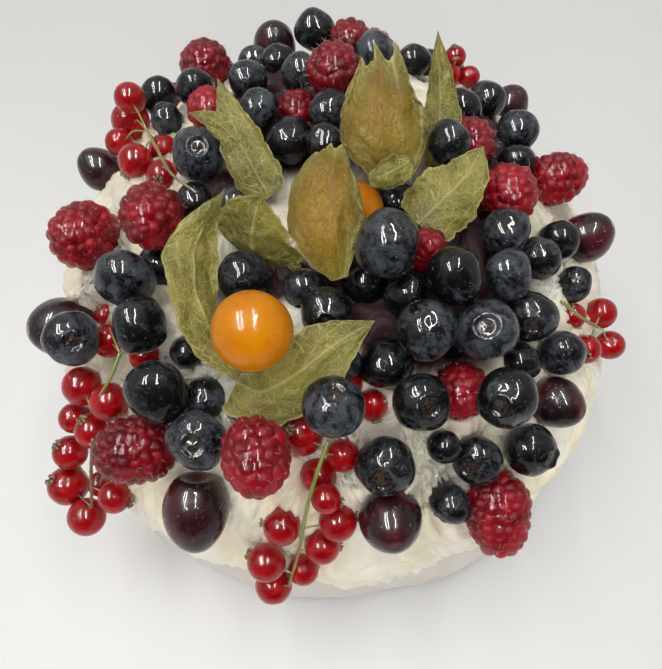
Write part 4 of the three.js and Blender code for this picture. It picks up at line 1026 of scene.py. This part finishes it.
def cream_shape(fruits, red_fruits):
    """The cream mound with its relief, its pockets for the fruit and its torn lip."""
    columns, rows_top, rows_side, finer_in_front = 460, 142, 46, 0.42
    turn = circle(columns)
    angle = turn - finer_in_front * np.sin(turn + math.pi / 2)
    r, z, lip = cream_profile(angle, rows_top, rows_side)
    slope_r, slope_z = np.gradient(r, axis=0), np.gradient(z, axis=0)
    size = np.hypot(slope_r, slope_z)
    points, normals = around(r, angle, z), around(-slope_z / size, angle, slope_r / size)
    share = np.arange(len(r)) / (len(r) - 1)
    down, side = (np.repeat(smoothstep(*span, share), columns) for span in ((0.80, 1.0), (0.62, 0.78)))
    points = points + normals * (cream_relief(points, down) - (1.0 + 1.6 * side) * MM)[:, None]
    spread = off_axis(points)
    points[:, :2] *= (1 - 0.6 * np.maximum(spread - WIDEST, 0) / spread)[:, None]
    points = press_in(scooped(points, normals, fruits), normals, fruits)
    rows = [points]
    for inset, height in ((1.2, 0.3), (3.0, 1.8), (12.0, 3.0), (40.0, 3.0)):
        ring = points[-columns:].copy()
        ring[:, :2] -= unit(ring[:, :2]) * inset * MM
        ring[:, 2] = np.minimum(lip + height * MM, UNDERSIDE)
        rows.append(ring)
    points = np.concatenate(rows)
    across, along = cream_strokes(points)
    faces = closed_faces(len(points) // columns, columns)
    return shape(points, [block[:, ::-1] for block in faces], juice=juice_stain(points, red_fruits),
                 # Painted shade: how dark the cream between close fruit on the heap is painted.
                 soak=soaked(points, fruits),
                 stroke=np.stack([across, 0.12 * along, np.zeros(len(points))], axis=-1))


def meringue_shape():
    """The base read from its CAD node: its rings made finer and softly uneven."""
    points, _ = node_mesh("meringue")
    points = points[off_axis(points) > 50 * MM]
    heights = np.unique(np.round(points[:, 2] / (0.01 * MM))) * 0.01 * MM
    columns, rows_between = 360, 9
    controls = []
    for height in heights:
        ring = points[np.abs(points[:, 2] - height) < 0.02 * MM]
        order = np.argsort(np.mod(np.arctan2(ring[:, 1], ring[:, 0]), TAU))
        spectrum = np.fft.rfft(off_axis(ring[order]))
        fine = np.zeros(columns // 2 + 1, complex)
        fine[:len(spectrum)] = spectrum
        radii = np.fft.irfft(fine, columns) * columns / len(ring)
        controls.append(np.stack([radii, np.full(columns, height)], axis=-1))
    count = rows_between * (len(heights) - 1) + 1
    profile = smooth_through(np.stack(controls), np.linspace(0, len(heights) - 1, count))
    points = around(profile[..., 0], circle(columns), np.clip(profile[..., 1], 0, heights[-1]))
    relief = 0.55 * ripple(points, 26 * MM, 31) + 0.25 * ripple(points, 9 * MM, 32)
    keep = smoothstep(0, 2 * MM, points[:, 2]) * smoothstep(0, 1.5 * MM, heights[-1] - points[:, 2])
    points = points + unit(points * [1, 1, 0]) * (relief * keep * 0.9 * MM)[:, None]
    return shape(points, closed_faces(count, columns))


# Building the cake

def add_fruit(fruit, item, turn, material):
    """One fruit's piece, which stands for the fruit's CAD node."""
    add_piece(fruit["node"] + "_skin", placed(item, turn, fruit["place"]), material, [fruit["node"]])


def add_bunches(rng, material):
    fruits = []
    for node in nodes_called("blueberries_"):
        berries = find_balls(node, (6, 7), BLUEBERRY_ENDS)
        berries += find_cut_balls(node, berries)
        shapes = []
        for berry in berries:
            item = blueberry_shape(berry["radius"], rng)
            shapes.append(placed(item, frame_of(berry["axis"], rng.uniform(0, TAU)), berry["place"]))
        add_piece(node + "_skin", joined(shapes), material, [node])
        fruits += berries
    return fruits


def add_raspberries(rng, material, hairs):
    fruits = [find_long_fruit(node) for node in nodes_called("raspberry_")]
    for fruit in fruits:
        item, tops, normals = raspberry_shape(fruit, rng)
        turn = frame_of(fruit["axis"], rng.uniform(0, TAU))
        add_fruit(fruit, item, turn, material)
        fuzz = placed(hair_shape(tops, normals, rng), turn, fruit["place"])
        add_piece(fruit["node"] + "_hair", fuzz, hairs, [])
    return fruits


def add_cherries(rng, material):
    fruits = [find_long_fruit(node) for node in nodes_called("cherry_")]
    for fruit in fruits:
        item = cherry_shape(fruit, rng)
        add_fruit(fruit, item, frame_of(fruit["axis"], rng.uniform(0, TAU)), material)
    return fruits


def add_physalis(rng, material):
    fruits = [find_balls(node, (10,), PHYSALIS_ENDS)[0] for node in nodes_called("physalis_")]
    for fruit in fruits:
        item = round_shape(fruit["radius"], rng, 48, 36, 0.97)
        add_fruit(fruit, item, frame_of(fruit["axis"], 0.0), material)
    return fruits


def stem_between(stalk, berry):
    """A short curved stem from the stalk to a currant, and the way the currant hangs from it."""
    foot = stalk[distance(stalk, berry["place"]).argmin()]
    hang = unit(berry["place"] - foot)
    end = berry["place"] - hang * berry["radius"] * 0.93
    sag = np.array([0, 0, 0.12]) * np.linalg.norm(end - foot)
    return curve_points([foot, (foot + end) / 2 + sag, end], 7), hang


def add_currants(rng, skin, stalks, calyxes):
    fruits = []
    rows = 40
    for name, (controls, dry) in STALKS.items():
        node = "currants_" + name
        stalk = curve_points(np.array(controls) * MM, rows)
        berries = find_balls(node, (6,), CURRANT_ENDS)
        berries += find_cut_balls(node, berries, stalk)
        thick = 0.50 * MM * (1 + 0.25 * np.sin(np.linspace(0, 9 * math.pi, rows)) ** 8)
        points, faces = tube(stalk, thick * np.linspace(1.1, 0.8, rows), 8)
        wood = [shape(points, faces, dry=dry + np.linspace(0, 0.4, len(points)))]
        skins, dried = [], []
        for berry in berries:
            path, hang = stem_between(stalk, berry)
            points, faces = tube(path, 0.28 * MM, 6)
            wood.append(shape(points, faces, dry=np.full(len(points), dry)))
            lean = unit(hang + rng.normal(size=3) * 0.12 + UPWARD * (rng.uniform() < UPWARD_SHARE))
            turn = frame_of(lean, rng.uniform(0, TAU))
            skins.append(placed(round_shape(berry["radius"], rng), turn, berry["place"]))
            dried.append(placed(currant_calyx(berry["radius"], rng), turn, berry["place"]))
        add_piece(node + "_skin", joined(skins), skin, [node])
        add_piece(node + "_stalk", joined(wood), stalks, [])
        add_piece(node + "_calyx", joined(dried), calyxes, [])
        fruits += berries
    return fruits


def add_husks(material):
    seed = FIRST_PETAL_SEED
    for name, petals in HUSKS.items():
        shapes = []
        for item in petals:
            shapes.append(petal_shape(item, seed))
            seed += PETAL_SEED_STEP
        add_piece("husk_" + name + "_leaf", joined(shapes), material, ["husk_" + name])


def add_camera():
    back = Vector((0, -math.cos(CAMERA_ELEVATION), math.sin(CAMERA_ELEVATION)))
    right = (-back).cross(Vector((0, 0, 1))).normalized()
    up = right.cross(-back)
    across = math.cos(CAMERA_ROLL) * right + math.sin(CAMERA_ROLL) * up
    upward = -math.sin(CAMERA_ROLL) * right + math.cos(CAMERA_ROLL) * up
    data = bpy.data.cameras.new("camera")
    data.sensor_fit = "VERTICAL"
    data.sensor_height = SENSOR
    data.lens = FOCAL_PIXELS * SENSOR / PHOTO_HEIGHT
    data.clip_start = 0.01
    camera = bpy.data.objects.new("camera", data)
    turn = Matrix((across, upward, back)).transposed()
    camera.matrix_world = Matrix.Translation(CAMERA_PLACE) @ turn.to_4x4()
    scene.collection.objects.link(camera)
    scene.camera = camera


def add_light(name, place, size, power, gloss, tilt=0.0):
    """A flat light that shines down, or forwards by its tilt; a gloss light only shows in reflections."""
    data = bpy.data.lights.new(name, "AREA")
    data.shape = "RECTANGLE"
    data.size, data.size_y = size
    data.energy = power
    data.color = WARM_WHITE
    light = bpy.data.objects.new(name, data)
    light.location = place
    light.rotation_euler = (tilt, 0, 0)
    light.visible_glossy = gloss
    light.visible_diffuse = not gloss
    scene.collection.objects.link(light)


def add_studio():
    """Pale surroundings that are dark towards the viewer, light tubes, and strips for the gloss."""
    scene.view_settings.view_transform = "Standard"
    world = bpy.data.worlds.new("studio")
    p = Painter(world)
    toward_viewer = p.vector_maths("DOT_PRODUCT", p.coordinates["Generated"], VIEWER_SIDE, "Value")
    colour = p.mix(p.remap(toward_viewer, 0.35, 0.80), WARM_WHITE, (0.03, 0.031, 0.034))
    background = p.tree.nodes["Background"].inputs
    p.feed(background["Color"], colour)
    p.feed(background["Strength"], 0.50)
    scene.world = world
    for index, x in enumerate(TUBES):
        add_light(f"tube_{index + 1}", (x, 0.06, LIGHT_HEIGHT), (0.07, 0.85), 3.3, False)
    for index, x in enumerate(STRIPS):
        add_light(f"strip_{index + 1}", (x, 0.02, LIGHT_HEIGHT), (0.085, 1.3), 24, True)
    add_light("front_fill", (0, -1.5, 1.3), (1.5, 1.5), 19, False, 49 * DEG)


def add_floor():
    reach, low = 3.0, -0.3 * MM
    mesh = bpy.data.meshes.new("floor")
    corners = [(-reach, -reach, low), (reach, -reach, low), (reach, reach, low), (-reach, reach, low)]
    mesh.from_pydata(corners, [], [(0, 1, 2, 3)])
    floor = bpy.data.objects.new("floor", mesh)
    p = new_skin("pale_table", Roughness=0.55)
    mesh.materials.append(p.skin(Base_Color=p.mix(p.noise(6, 3), (0.670, 0.675, 0.680),
                                                  (0.700, 0.705, 0.710))))
    scene.collection.objects.link(floor)


def build():
    rng = np.random.default_rng(RANDOM_SEED)
    blueberries = add_bunches(rng, blueberry_material())
    raspberries = add_raspberries(rng, raspberry_material(), hair_material())
    cherries = add_cherries(rng, cherry_material())
    physalis = add_physalis(rng, physalis_material())
    currants = add_currants(rng, currant_material(), stalk_material(), calyx_material())
    fruits = blueberries + raspberries + cherries + physalis + currants
    add_husks(husk_material())
    add_piece("cream_swirls", cream_shape(fruits, raspberries + currants), cream_material(), ["cream"])
    add_piece("meringue_shell", meringue_shape(), meringue_material(), ["meringue"])
    print("fruit found:", len(blueberries), len(raspberries), len(cherries), len(physalis), len(currants))


add_camera()
build()
add_studio()
add_floor()
